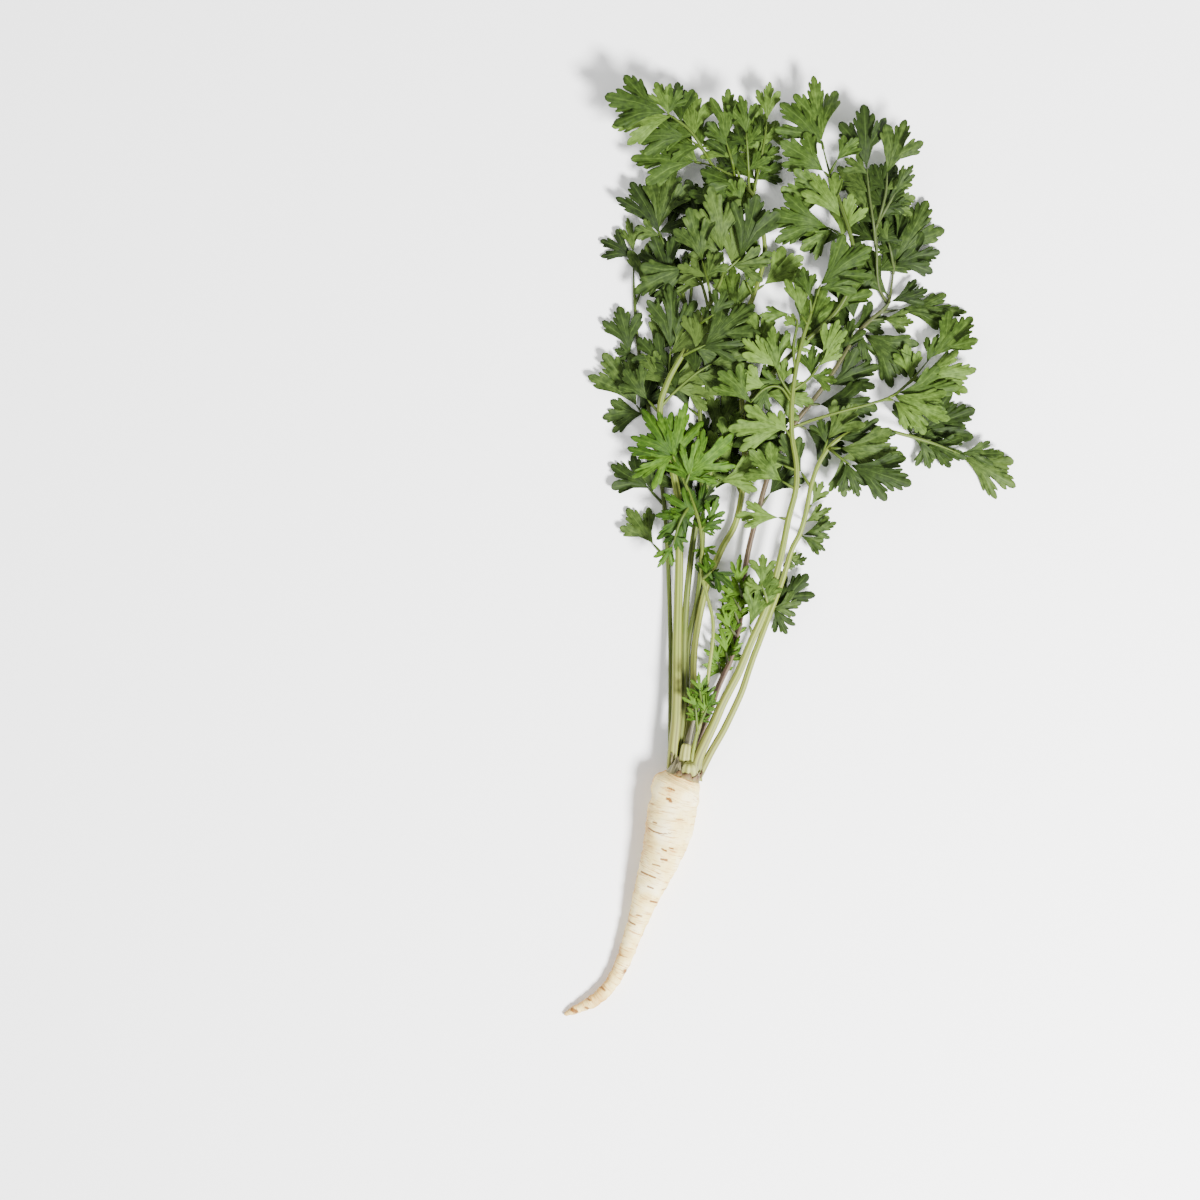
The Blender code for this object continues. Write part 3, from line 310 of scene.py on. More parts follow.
def lay_stalk(seat, radii, route, soft, laid):
    """A leaf's main stalk, from its seat on the crown down onto what lies below: its points and radii."""
    foot = CROWN + LEVEL * seat[0] + UP * seat[1] + OUTWARD * SEAT_GAP
    path = smooth_route(np.vstack([foot[:2], route]), LAID_STEP)
    along = travelled(path)
    radius = np.interp(along / along[-1], (0.0, 0.3, 1.0), radii)
    rest = widest(soft.height(path) + LAY_GAP + radius, 7)
    height = foot[2] + (rest - foot[2]) * ramp(along / DOWN_AFTER)
    height = np.maximum(height, rest * ramp((along - 20.0) / 60.0))
    need = height.copy()
    for other, other_radius in laid:
        apart = np.linalg.norm(path[:, None, :] - other[None, :, :2], axis=2)
        reach = radius[:, None] + other_radius[None, :] + STALK_GAP
        over = np.sqrt(np.maximum(reach ** 2 - apart ** 2, 0.0))
        need = np.maximum(need, np.where(apart < reach, other[None, :, 2] + over, -1.0).max(axis=1))
    height = height + (widest(need, 5) - height) * ramp(along / 10.0)
    return np.column_stack([path, height]), radius


def lay_twig(stalks, start, route, pile, own, radii):
    """A side stalk from its place on the main stalk, or on an earlier side stalk, to its leaflets."""
    places = np.vstack(stalks)
    place = places[np.argmin(np.linalg.norm(places[:, :2] - start, axis=1))]
    path = smooth_route(np.vstack([place[:2], route]), LAID_STEP)
    share = np.linspace(0, 1, len(path))
    radius = radii[0] + (radii[1] - radii[0]) * share
    rest = pile.height(path) + LAY_GAP + radius
    far = np.linalg.norm(path - path[0], axis=1) > FOOT_FREE
    over_own = own.height(path) + OWN_GAP + radius
    rest = widest(np.maximum(rest, np.where(far, over_own, rest)), 2)
    height = np.maximum(rest, place[2] + (rest[-1] + 1.0 - place[2]) * ramp(share))
    height = height + (place[2] - height) * ramp(1 - share * 3.0)
    return np.column_stack([path, height]), radius


def leaf_frame(degrees):
    """Directions along and across a leaflet that heads this way."""
    turn = math.radians(degrees)
    facing = np.array([math.cos(turn), math.sin(turn)])
    return facing, np.array([facing[1], -facing[0]])


# Points on one triangle of a leaflet, as weights of its corners, at which it must clear the pile.
BLADE_SAMPLES = ((1, 0, 0), (0, 1, 0), (0, 0.5, 0.5), (0.5, 0.5, 0), (0.5, 0, 0.5), (0.34, 0.33, 0.33))


def coarse_outline(half, breadth, at_end=True):
    """A coarse leaflet's hub and the points round it; one that isn't at a stalk's end has a single point as foot."""
    right = [(x * breadth, y) for x, y in half]
    left = [(-x, y) for x, y in reversed(right)]
    if not at_end:
        right[0] = BLADE_FOOT
        left.pop()
    return [BLADE_HUB] + right + [BLADE_TIP] + left


def lay_blade(foot, heading, length, breadth, pile, own, draw, at_end):
    """Coarse corners of one leaflet, hub first, with its foot, facing, across and length."""
    facing, across = leaf_frame(heading + draw.uniform(-4, 4))
    roll = draw.uniform(-0.22, 0.22)
    pitch = draw.uniform(-0.02, 0.12)
    half = SMALL_HALF if length < MIDDLE_FROM else MIDDLE_HALF if length < LARGE_FROM else LARGE_HALF
    outline = coarse_outline(half, breadth, at_end)
    fixed = (1, len(outline) - 1) if at_end else (1,)
    corners = np.empty((len(outline), 3))
    for i, (x, y) in enumerate(outline):
        vary = 1.0 if i == 0 or i in fixed else draw.uniform(0.94, 1.06)
        arch = 0.20 * y * (1 - y) - 0.10 * abs(x) + (0.03 if i == 0 else 0.0)
        lift = pitch * y + roll * x + arch + (draw.uniform(-0.03, 0.03) if y > 0.4 else 0.0)
        corners[i, :2] = foot[:2] + (across * x * vary + facing * y * vary) * length
        corners[i, 2] = foot[2] + lift * length
    nominal = corners[:, 2].copy()
    for _ in range(4):
        for a in range(1, len(outline)):
            b = a % (len(outline) - 1) + 1
            for weights in BLADE_SAMPLES:
                spot = corners[0] * weights[0] + corners[a] * weights[1] + corners[b] * weights[2]
                lack = pile.height(spot) + LAY_GAP + BLADE_HALF - spot[2]
                own_lack = 0.0
                if math.hypot(spot[0] - foot[0], spot[1] - foot[1]) > FOOT_FREE:
                    own_lack = own.height(spot) + OWN_GAP + BLADE_HALF - spot[2]
                for corner, weight in zip((0, a, b), weights):
                    if weight > 0 and corner not in fixed:
                        room = nominal[corner] + OWN_RISE - corners[corner, 2]
                        corners[corner, 2] += max(lack, min(own_lack, room), 0.0)
    return corners, (np.array(foot), facing, across, length, breadth)


def lay_low_blade(foot, heading, length, pile, draw):
    """A lower leaflet that hangs from a side stalk onto what lies under it, as lay_blade gives."""
    facing, across = leaf_frame(heading)
    breadth = draw.uniform(0.85, 1.0)
    corners = []
    for x, y in coarse_outline(SMALL_HALF, breadth):
        plan = foot[:2] + (across * x + facing * y) * length
        hanging = foot[2] - LOW_DROOP * math.hypot(x, y) * length
        corners.append((*plan, max(pile.height(plan) + LOW_GAP, hanging)))
    return np.array(corners), (foot, facing, across, length, breadth)


def blade_spots(corners):
    """Points all over a leaflet, about two millimetres apart."""
    shares = [(i / 12, j / 12) for i in range(13) for j in range(13 - i)]
    rim = corners[1:]
    return np.array([corners[0] * (1 - u - v) + a * u + b * v
                     for a, b in zip(rim, np.roll(rim, -1, axis=0)) for u, v in shares])


def lay_plant():
    """Lays every leaf on those before it: name -> main stalk, radius, side stalks and leaflets."""
    draw = random.Random(SEED)
    low_draw = random.Random(SEED + 2)
    soft, pile = Pile(), Pile()
    laid = []
    leaves = {}
    entries = {entry[0]: entry for entry in LEAVES + STUBS}
    for name in ORDER:
        _, seat, radii, route, side_stalks = entries[name]
        main, radius = lay_stalk(seat, radii, in_points(route), soft, laid)
        twigs, blades, low = [], [], []
        own = Pile(-5.0, 2, (1,))
        for side_route, *leaflets in side_stalks:
            start, *side_route = in_points(side_route)
            side_radii = SIDE_RADII if len(leaflets) < 3 else WIDE_SIDE_RADII
            stalks = [main] + [earlier[0] for earlier in twigs]
            twig, twig_radius = lay_twig(stalks, start, side_route, pile, own, side_radii)
            twigs.append((twig, twig_radius))
            for i, (heading, length, breadth) in enumerate(leaflets):
                foot = twig[-1] if i == 0 else twig[-2] + (twig[-1] - twig[-2]) * 0.35 * (i - 1)
                blades.append(lay_blade(foot, heading, length, breadth, pile, own, draw, i == 0))
            for corners, _ in blades[-len(leaflets):]:
                own.add(blade_spots(corners), BLADE_HALF)
            own.settle()
            young = name in YOUNG or leaflets[0][1] < 20 and start[1] < 0
            reach = np.linalg.norm(twig[-1] - twig[0])
            places = [shares for least, shares in (YOUNG_PAIRS if young else LOW_PAIRS) if reach > least]
            for share in places[0] if places else ():
                spot = int(share * (len(twig) - 1))
                ahead = twig[min(spot + 1, len(twig) - 1)] - twig[max(spot - 1, 0)]
                way = math.degrees(math.atan2(ahead[1], ahead[0]))
                for side in (-1, 1):
                    long = leaflets[0][1] * low_draw.uniform(0.60, 0.78) * (1.1 - 0.25 * share)
                    turned = way + side * low_draw.uniform(38, 62)
                    low.append(lay_low_blade(twig[spot], turned, long, pile, low_draw))
        leaves[name] = (main, radius, twigs, blades + low)
        laid.append((main, radius))
        for piece, thick in [(main, radius)] + twigs:
            fine = smooth_route(np.vstack([piece[::2], piece[-1:]]), PILED_STEP)
            for side in (-0.7, 0.0, 0.7):
                spots = fine + np.array([side, side, 0.0]) * thick.max()
                for heap in (pile,) if piece is main else (pile, soft):
                    heap.add(spots, thick.max())
        for heap in (pile, soft):
            for corners, _ in blades:
                heap.add(blade_spots(corners), BLADE_HALF)
            heap.settle()
    return leaves


def in_row(points):
    """Layout millimetres to the part's own frame in metres, for one point or an array of them."""
    return (np.asarray(points, float) - SHIFT) * MM


# ---------------------------------------------------------------- finishes

def tone(hex_code):
    """An sRGB hex colour as the linear colour that a shader takes."""
    parts = [int(hex_code[i:i + 2], 16) / 255 for i in (1, 3, 5)]
    return tuple(p / 12.92 if p <= 0.04045 else ((p + 0.055) / 1.055) ** 2.4 for p in parts) + (1.0,)


def add(material, kind, inputs, give=0, stops=(), **settings):
    """Adds a shader node to a material and returns one of its outputs.

    Inputs are values or other nodes' outputs, by name or in order. Stops are a colour ramp's (place, colour).
    """
    tree = material.node_tree
    made = tree.nodes.new("ShaderNode" + kind)
    for key, value in settings.items():
        setattr(made, key, value)
    for key, value in inputs.items() if isinstance(inputs, dict) else enumerate(inputs):
        if isinstance(value, bpy.types.NodeSocket):
            tree.links.new(value, made.inputs[key])
        else:
            made.inputs[key].default_value = value
    if stops:
        points = made.color_ramp.elements
        while len(points) < len(stops):
            points.new(0.5)
        for point, (place, colour) in zip(points, stops):
            point.position = place
            point.color = tone(colour)
    return made.outputs[give] if made.outputs else None


def new_material(name, *attributes):
    """A material and an output for each attribute: grain, the place in mm, is a vector and the rest are numbers."""
    made = bpy.data.materials.new(name)
    made.use_nodes = True
    made.node_tree.nodes.clear()
    return [made] + [add(made, "Attribute", (), "Vector" if entry == "grain" else "Fac", attribute_name=entry)
                     for entry in attributes]


def finish(made, colour, values, height=None, strength=0.5, depth=0.0004):
    """Ends a material with its shader: colour and values, and a relief with its strength and depth in metres."""
    if height is not None:
        values["Normal"] = add(made, "Bump", {"Height": height, "Strength": strength, "Distance": depth})
    shader = add(made, "BsdfPrincipled", {"Base Color": colour, **values})
    add(made, "OutputMaterial", (shader,))
    return made


def leaf_material(name, deep, middle, light, vein, roughness):
    """Living leaf blade: a matt waxy skin over green tissue, paler along its fine veins.

    The attributes are the vein (1 on a vein), the tint of one leaflet, and the place in mm across and along it.
    """
    made, veins, tint, place = new_material(name, "vein", "tint", "grain")
    # Tissue between the veins varies over 4 mm patches and in 0.5 mm wide streaks along the veins.
    patches = add(made, "TexNoise", {"Vector": place, "Scale": 0.25, "Detail": 3.0})
    drawn = add(made, "Mapping", {"Vector": place, "Scale": (2.2, 0.16, 1.0)})
    streaks = add(made, "TexNoise", {"Vector": drawn, "Scale": 1.0, "Detail": 4.0})
    patched = add(made, "Math", (patches, 0.75, tint), operation="MULTIPLY_ADD")
    streaked = add(made, "Math", (streaks, 0.55, patched), operation="MULTIPLY_ADD")
    level = add(made, "Math", (streaked, 0.64), operation="SUBTRACT")
    tissue = add(made, "ValToRGB", (level,), stops=((0.16, deep), (0.50, middle), (0.84, light)))
    sharp = add(made, "Math", (veins, 3.0), operation="POWER")
    line = add(made, "Math", (sharp, 0.42), operation="MULTIPLY")
    colour = add(made, "Mix", {0: line, 6: tissue, 7: tone(vein)}, 2, data_type="RGBA")
    height = add(made, "Math", (streaks, 0.6, patches), operation="MULTIPLY_ADD")
    look = {"Roughness": roughness, "IOR": 1.42, "Specular IOR Level": 0.14}
    return finish(made, colour, look, height, 0.55)


def stalk_material(name, foot, middle, end, stripe):
    """Living stalk: matt ribbed skin, pale where light never reached at the foot and greener towards the leaflets.

    The attributes are the share of the way from the crown, the rib (1 on a rib), and unbent place in mm.
    """
    made, way, rib, place = new_material(name, "way", "rib", "grain")
    # Fibre streaks about 0.6 mm wide and 15 mm long.
    drawn = add(made, "Mapping", {"Vector": place, "Scale": (1.5, 1.5, 0.06)})
    fibres = add(made, "TexNoise", {"Vector": drawn, "Scale": 1.0, "Detail": 3.0})
    blotch = add(made, "TexNoise", {"Vector": place, "Scale": 0.09, "Detail": 2.0})
    shift = add(made, "Math", (blotch, 0.5, way), operation="MULTIPLY_ADD")
    level = add(made, "Math", (shift, 0.25), operation="SUBTRACT")
    body = add(made, "ValToRGB", (level,), stops=((0.0, foot), (0.38, middle), (1.0, end)))
    mixed = add(made, "Math", (fibres, 0.5, rib), operation="MULTIPLY_ADD")
    lines = add(made, "MapRange", (mixed, 0.30, 1.25, 0.0, 0.85))
    fading = add(made, "MapRange", (way, 0.35, 1.0, 1.0, 0.2))
    striped = add(made, "Math", (lines, fading), operation="MULTIPLY")
    colour = add(made, "Mix", {0: striped, 6: body, 7: tone(stripe)}, 2, data_type="RGBA")
    look = {"Roughness": 0.5, "IOR": 1.42, "Specular IOR Level": 0.3, "Subsurface Weight": 0.08,
            "Subsurface Radius": (0.002, 0.0025, 0.001)}
    return finish(made, colour, look, fibres)


def root_material():
    """Washed parsley root skin: matt cream cork with brownish cross streaks and darker healed marks; its sides and
    underside take painted shade.
    """
    made, marks, tan_and_painted_shade, place = new_material("washed_root_skin", "mark", "tan_and_painted_shade", "grain")
    # Broad tone changes over 15 mm, and cross streaks about 1 mm high and 8 mm round the root.
    broad = add(made, "TexNoise", {"Vector": place, "Scale": 0.07, "Detail": 4.0})
    drawn = add(made, "Mapping", {"Vector": place, "Scale": (0.10, 0.10, 1.15)})
    streaks = add(made, "TexNoise", {"Vector": drawn, "Scale": 1.0, "Detail": 5.0, "Roughness": 0.62})
    speckle = add(made, "TexNoise", {"Vector": place, "Scale": 1.6, "Detail": 3.0})
    # The shift towards brown is real at the tail and the crown's rim, and painted shade along the root's sides and
    # underneath.
    shift = add(made, "Math", (tan_and_painted_shade, 0.42, broad), operation="MULTIPLY_ADD")
    skin = add(made, "ValToRGB", (shift,), stops=((0.34, "#F9EEC0"), (0.56, "#EFD990"), (0.86, "#C09648")))
    faint = add(made, "MapRange", (streaks, 0.53, 0.66, 0.0, 0.8))
    streaked = add(made, "Mix", {0: faint, 6: skin, 7: tone("#B07018")}, 2, data_type="RGBA")
    broken = add(made, "Math", (speckle, 0.7, marks), operation="MULTIPLY_ADD")
    marked = add(made, "MapRange", (broken, 0.58, 0.98, 0.0, 0.95))
    colour = add(made, "Mix", {0: marked, 6: streaked, 7: tone("#744406")}, 2, data_type="RGBA")
    lumps = add(made, "Math", (speckle, 0.35, streaks), operation="MULTIPLY_ADD")
    look = {"Roughness": 0.52, "IOR": 1.45, "Specular IOR Level": 0.35, "Subsurface Weight": 0.08,
            "Subsurface Radius": (0.003, 0.0025, 0.002)}
    return finish(made, colour, look, lumps, 0.6, 0.0009)


def cut_material():
    """Cut end of an old stalk: damp pale pith with darker fibre ends."""
    made, = new_material("cut_stalk_pith")
    place = add(made, "TexCoord", (), "Object")
    # Fibre ends are about 0.5 mm across.
    cells = add(made, "TexVoronoi", {"Vector": place, "Scale": 1400.0}, "Distance")
    broad = add(made, "TexNoise", {"Vector": place, "Scale": 260.0, "Detail": 3.0})
    level = add(made, "Math", (cells, 0.5, broad), operation="MULTIPLY_ADD")
    colour = add(made, "ValToRGB", (level,), stops=((0.35, "#DCDCAE"), (0.62, "#B4B878"), (0.90, "#74783C")))
    return finish(made, colour, {"Roughness": 0.42, "IOR": 1.4, "Specular IOR Level": 0.5}, level)


def scale_material():
    """Dry leaf bases left round the crown: papery, cream to brown towards their torn tips."""
    made, way, place = new_material("dry_leaf_base", "way", "grain")
    drawn = add(made, "Mapping", {"Vector": place, "Scale": (1.3, 1.3, 0.12)})
    fibres = add(made, "TexNoise", {"Vector": drawn, "Scale": 1.0, "Detail": 4.0})
    level = add(made, "Math", (fibres, 0.8, way), operation="MULTIPLY_ADD")
    colour = add(made, "ValToRGB", (level,),
                 stops=((0.25, "#7E7438"), (0.50, "#6C5E32"), (0.78, "#5E4826"), (1.0, "#3E2A0E")))
    return finish(made, colour, {"Roughness": 0.6, "Specular IOR Level": 0.35}, fibres, 0.7)


# ---------------------------------------------------------------- modelling

ATTRIBUTES = ("vein", "tint", "way", "rib", "mark", "tan_and_painted_shade")
WELD = 0.000002
LEAF_THICKNESS, SCALE_THICKNESS = 0.00032, 0.0004


def add_sheet(builder, columns, rows, place, around=False):
    """Adds a grid of columns by rows and moves it to place(column numbers, row numbers) -> points, attributes.

    Around closes its first and last column into a tube. The points are layout millimetres.
    """
    floats, vectors = builder.verts.layers.float, builder.verts.layers.float_vector
    for name in ATTRIBUTES:
        if not floats.get(name):
            floats.new(name)
    if not vectors.get("grain"):
        vectors.new("grain")
    verts = bmesh.ops.create_grid(builder, x_segments=columns, y_segments=rows, size=1.0)["verts"]
    flat = np.array([vertex.co[:2] for vertex in verts])
    column = np.rint((flat[:, 0] + 1) / 2 * columns).astype(int)
    row = np.rint((flat[:, 1] + 1) / 2 * rows).astype(int)
    points, attributes = place(column, row)
    for vertex, point in zip(verts, in_row(points)):
        vertex.co = point
    for name, numbers in attributes.items():
        layer = (vectors if name == "grain" else floats).get(name)
        for vertex, value in zip(verts, numbers):
            vertex[layer] = value
    seam = [v for v, i in zip(verts, column) if around and i in (0, columns)]
    ends = [v for v, i, j in zip(verts, column, row) if (not around or 0 < i < columns) and j in (0, rows)]
    bmesh.ops.remove_doubles(builder, verts=seam + ends, dist=WELD)


def new_piece(name, builder, materials, nodes, closed=True):
    """Makes a piece of the plant: rides on the plant's one body and stands for its nodes, which it hides."""
    if closed:
        bmesh.ops.recalc_face_normals(builder, faces=builder.faces)
    mesh = bpy.data.meshes.new(name)
    builder.to_mesh(mesh)
    builder.free()
    for entry in materials:
        mesh.materials.append(entry)
    mesh.polygons.foreach_set("use_smooth", [True] * len(mesh.polygons))
    made = bpy.data.objects.new(name, mesh)
    bpy.context.scene.collection.objects.link(made)
    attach(made, "root")
    for node in nodes:
        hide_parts(node)
    return made


def thicken(piece, thickness, underside=0):
    """Gives a sheet its thickness; its underside takes the material this many places after its upper side's."""
    shell = piece.modifiers.new("thickness", "SOLIDIFY")
    shell.thickness = thickness
    shell.offset = 0.0
    shell.use_rim = True
    shell.material_offset = underside


def through(points, heights):
    """A smooth height everywhere in plan that passes near the given heights: a bent thin plate."""
    def terms(spots):
        far = np.linalg.norm(spots[:, None] - points[None], axis=2)
        bend = np.where(far > 0, far ** 2 * np.log(np.maximum(far, 1e-9)), 0.0)
        return bend, np.column_stack([np.ones(len(spots)), spots])

    bend, flat = terms(points)
    system = np.block([[bend + 0.004 * np.eye(len(points)), flat], [flat.T, np.zeros((3, 3))]])
    weights = np.linalg.solve(system, np.concatenate([heights, np.zeros(3)]))

    def height(spots):
        bend, flat = terms(spots)
        return bend @ weights[:-3] + flat @ weights[-3:]

    return height


# One side of a lobe from its foot to its tip, by how many side teeth it has.
# Each point: share of the way to the tip, share of the half width, strength of the vein that ends there.
LOBE_SIDES = {
    0: ((0.30, 0.84, 0.0), (0.56, 0.98, 0.0), (0.80, 0.80, 0.0), (0.94, 0.42, 0.0)),
    1: ((0.22, 0.74, 0.0), (0.42, 0.88, 0.0), (0.56, 1.02, 0.3), (0.67, 1.02, 0.7), (0.73, 0.84, 0.2),
        (0.65, 0.52, 0.0), (0.79, 0.56, 0.0), (0.93, 0.36, 0.0)),
    2: ((0.16, 0.70, 0.0), (0.31, 0.84, 0.0), (0.43, 1.02, 0.3), (0.53, 1.10, 0.7), (0.59, 0.96, 0.2),
        (0.51, 0.64, 0.0), (0.65, 0.76, 0.2), (0.76, 0.82, 0.7), (0.82, 0.66, 0.2), (0.74, 0.38, 0.0),
        (0.85, 0.42, 0.0), (0.95, 0.27, 0.0)),
}
# Side teeth to the left and right of the left, middle and right lobe. The longer leaflets take one set at random.
TINY_BELOW = 20
TINY_TEETH = ((1, 0), (1, 1), (0, 1))
MIDDLE_TEETH = (((1, 1), (1, 1), (1, 1)), ((1, 1), (2, 1), (0, 1)), ((1, 0), (1, 2), (1, 1)))
LARGE_TEETH = (((1, 1), (2, 2), (1, 1)), ((2, 1), (2, 2), (1, 1)), ((1, 1), (2, 1), (1, 2)))
# Rows of a leaflet: up to 1 over the wedge between foot and lobes, from 1 to 2 over the lobes.
LEAFLET_ROWS = np.array([0.0, 0.3, 0.62, 1.0, 1.27, 1.53, 1.77, 1.93, 2.0])


def lobe_edge(left, right, tip, half, teeth, draw):
    """Edge points of one lobe from its left foot round its tip to its right foot, each with a vein strength."""
    foot = (left + right) / 2
    way = tip - foot
    out = np.array([way[1], -way[0]]) / np.linalg.norm(way) * half
    edge = [(left, 0.0)]
    for side, count in ((-1, teeth[0]), (1, teeth[1])):
        points = []
        grow = draw.uniform(0.92, 1.08)
        for share, width, vein in LOBE_SIDES[count]:
            share += draw.uniform(-0.018, 0.018)
            width *= grow * draw.uniform(0.95, 1.05)
            points.append((foot + way * share + out * (side * width), vein))
        edge += points + [(tip, 1.0)] if side < 0 else points[::-1]
    return edge + [(right, 0.0)]


def margin(length, breadth, cutting, draw):
    """The edge of a leaflet from left to right, in shares of its length.

    Each point: its place, the place of its foot at the wedge's end, vein strength, lobe, and place across the lobe.
    """
    high = [draw.uniform(0.43, 0.56) / cutting for _ in range(2)]
    clefts = [np.array([side * draw.uniform(0.085, 0.125), up]) for side, up in zip((-1, 1), high)]
    sides = [np.array([side * draw.uniform(0.14, 0.19), draw.uniform(0.25, 0.34) / cutting]) for side in (-1, 1)]
    turns = [math.radians(draw.uniform(30, 47)) for _ in range(2)]
    teeth = TINY_TEETH if length < TINY_BELOW else draw.choice(MIDDLE_TEETH if length < LARGE_FROM else LARGE_TEETH)
    feet = [sides[0], *clefts, sides[1]]
    lobes = []
    for lobe, (left, right) in enumerate(zip(feet, feet[1:])):
        if lobe == 1:
            tip = np.array([draw.uniform(-0.05, 0.05), 1.0])
            half = draw.uniform(0.150, 0.190)
        else:
            turn = turns[lobe // 2]
            long = draw.uniform(0.43, 0.52) + 0.12 * (cutting - 1)
            tip = (left + right) / 2 + long * np.array([(lobe - 1) * math.sin(turn), math.cos(turn)])
            half = draw.uniform(0.120, 0.155)
        edge = lobe_edge(left, right, tip, half / cutting, teeth[lobe], draw)
        for i, (spot, vein) in enumerate(edge):
            share = i / (len(edge) - 1)
            lobes.append((*spot, *(left + (right - left) * share), vein, lobe, 2 * share - 1))
    made = np.array(lobes)
    made[:, [0, 2]] *= 0.4 + 0.6 * breadth
    return made


def add_leaflet(builder, corners, form, tint, cutting, draw):
    """One leaflet with cut lobes, rounded teeth, fine veins and a curled margin, over the part's coarse one."""
    foot, facing, across, length, breadth = form
    line = margin(length, breadth, cutting, draw)
    plan = np.column_stack([(corners[:, :2] - foot[:2]) @ across, (corners[:, :2] - foot[:2]) @ facing]) / length
    height = through(plan, (corners[:, 2] - foot[2]) / length)
    cup, twist, droop = [np.array([draw.uniform(*limits) for _ in range(3)])
                         for limits in ((-0.30, 0.75), (-0.55, 0.55), (-0.5, 2.4))]
    wave = draw.uniform(0.15, 0.45)
    turn = draw.uniform(0, 6.28)
    bend = draw.uniform(-0.09, 0.09)

    def place(column, row):
        edge_x, edge_y, foot_x, foot_y, vein, lobe, along = line[column].T
        lobe = lobe.astype(int)
        v = LEAFLET_ROWS[row]
        near = np.minimum(v, 1.0)
        far = np.maximum(v - 1.0, 0.0)
        y = foot_y * near + (edge_y - foot_y) * far
        x = foot_x * near ** 1.12 + (edge_x - foot_x) * far + bend * y * y
        side = along * (0.10 * near + 0.07 * far) * length
        rise = height(np.column_stack([x, y])) * length
        # The ribs lie 0.1 mm deep and the side veins 0.04 mm.
        rise += np.where((vein > 0.9) & (v > 0.2), -0.10, 0.0) + np.where(vein > 0.6, -0.04 * far, 0.0)
        rise += cup[lobe] * np.abs(side) * (0.3 * near + 0.7 * far)
        rise += twist[lobe] * side * far
        rise -= droop[lobe] * far ** 2 * length / 36.0
        rise += wave * np.sin(along * 5.0 + lobe * 2.0 + v * 3.0 + turn) * far ** 2
        flat = foot[:2] + (across[None] * x[:, None] + facing[None] * y[:, None]) * length
        points = np.column_stack([flat, np.maximum(foot[2] + rise, 0.25)])
        strength = np.where(vein > 0.9, 1.0 - 0.45 * far, vein * far) * ramp(v / 0.2)
        angle = np.arctan2(x, np.maximum(y, 0.02))
        reach = np.hypot(x, y)
        grain = np.column_stack([angle * length * 0.8 + tint * 300.0, reach * length + tint * 700.0, 0.0 * reach])
        return points, {"vein": strength, "tint": np.full(len(x), tint), "grain": grain}

    add_sheet(builder, len(line) - 1, len(LEAFLET_ROWS) - 1, place)


def tube_frames(path):
    """For each point of a path: the direction along it, across it and up from it."""
    facing = np.gradient(path, axis=0)
    facing /= np.linalg.norm(facing, axis=1)[:, None]
    across = np.cross(facing, UP)
    across /= np.linalg.norm(across, axis=1)[:, None]
    return facing, across, np.cross(across, facing)


def round_tube(across, up, angle):
    """The direction out of a tube at each angle round it."""
    return across * np.cos(angle)[:, None] + up * np.sin(angle)[:, None]


def add_stalk(builder, path, radius, sides, ribs, ways, grain_from=0.0, seated=None):
    """A ribbed stalk along a path, closed at both ends.

    Ways are its first and last share of the way from the crown. Seated(distance, angle) widens a stalk that
    stands on the crown, and turns its first ring to lie on it.
    """
    _, across, up = tube_frames(path)
    if seated:
        across[0], up[0] = LEVEL, UP
    gone = travelled(path)
    rings = len(path)

    def place(column, row):
        ring = np.clip(row - 1, 0, rings - 1)
        angle = 2 * math.pi * (column % sides) / sides
        size = radius[ring] * np.where((row == 0) | (row == rings + 1), 0.0, 1.0)
        rib = 0.5 + 0.5 * np.cos(angle * ribs + 0.6)
        # Ribs stand out by 7%, and a furrow 10% deep runs along the upper side.
        form = (1.0 + 0.07 * (rib - 0.5) * 2) * (1.0 - 0.10 * np.exp(-((angle - math.pi / 2) / 0.42) ** 2))
        if seated:
            form *= seated(gone[ring], angle)
        points = path[ring] + round_tube(across[ring], up[ring], angle) * (size * form)[:, None]
        way = ways[0] + (ways[1] - ways[0]) * gone[ring] / gone[-1]
        grain = np.column_stack([radius[ring] * np.cos(angle), radius[ring] * np.sin(angle), gone[ring] + grain_from])
        return points, {"way": way, "rib": rib, "grain": grain}

    add_sheet(builder, sides, rings + 1, place, around=True)


def finer(path, radius, step):
    """The same stalk in shorter steps: its points and radii."""
    made = smooth_route(np.column_stack([path, radius]), step)
    return made[:, :3], np.maximum(made[:, 3], 0.2)


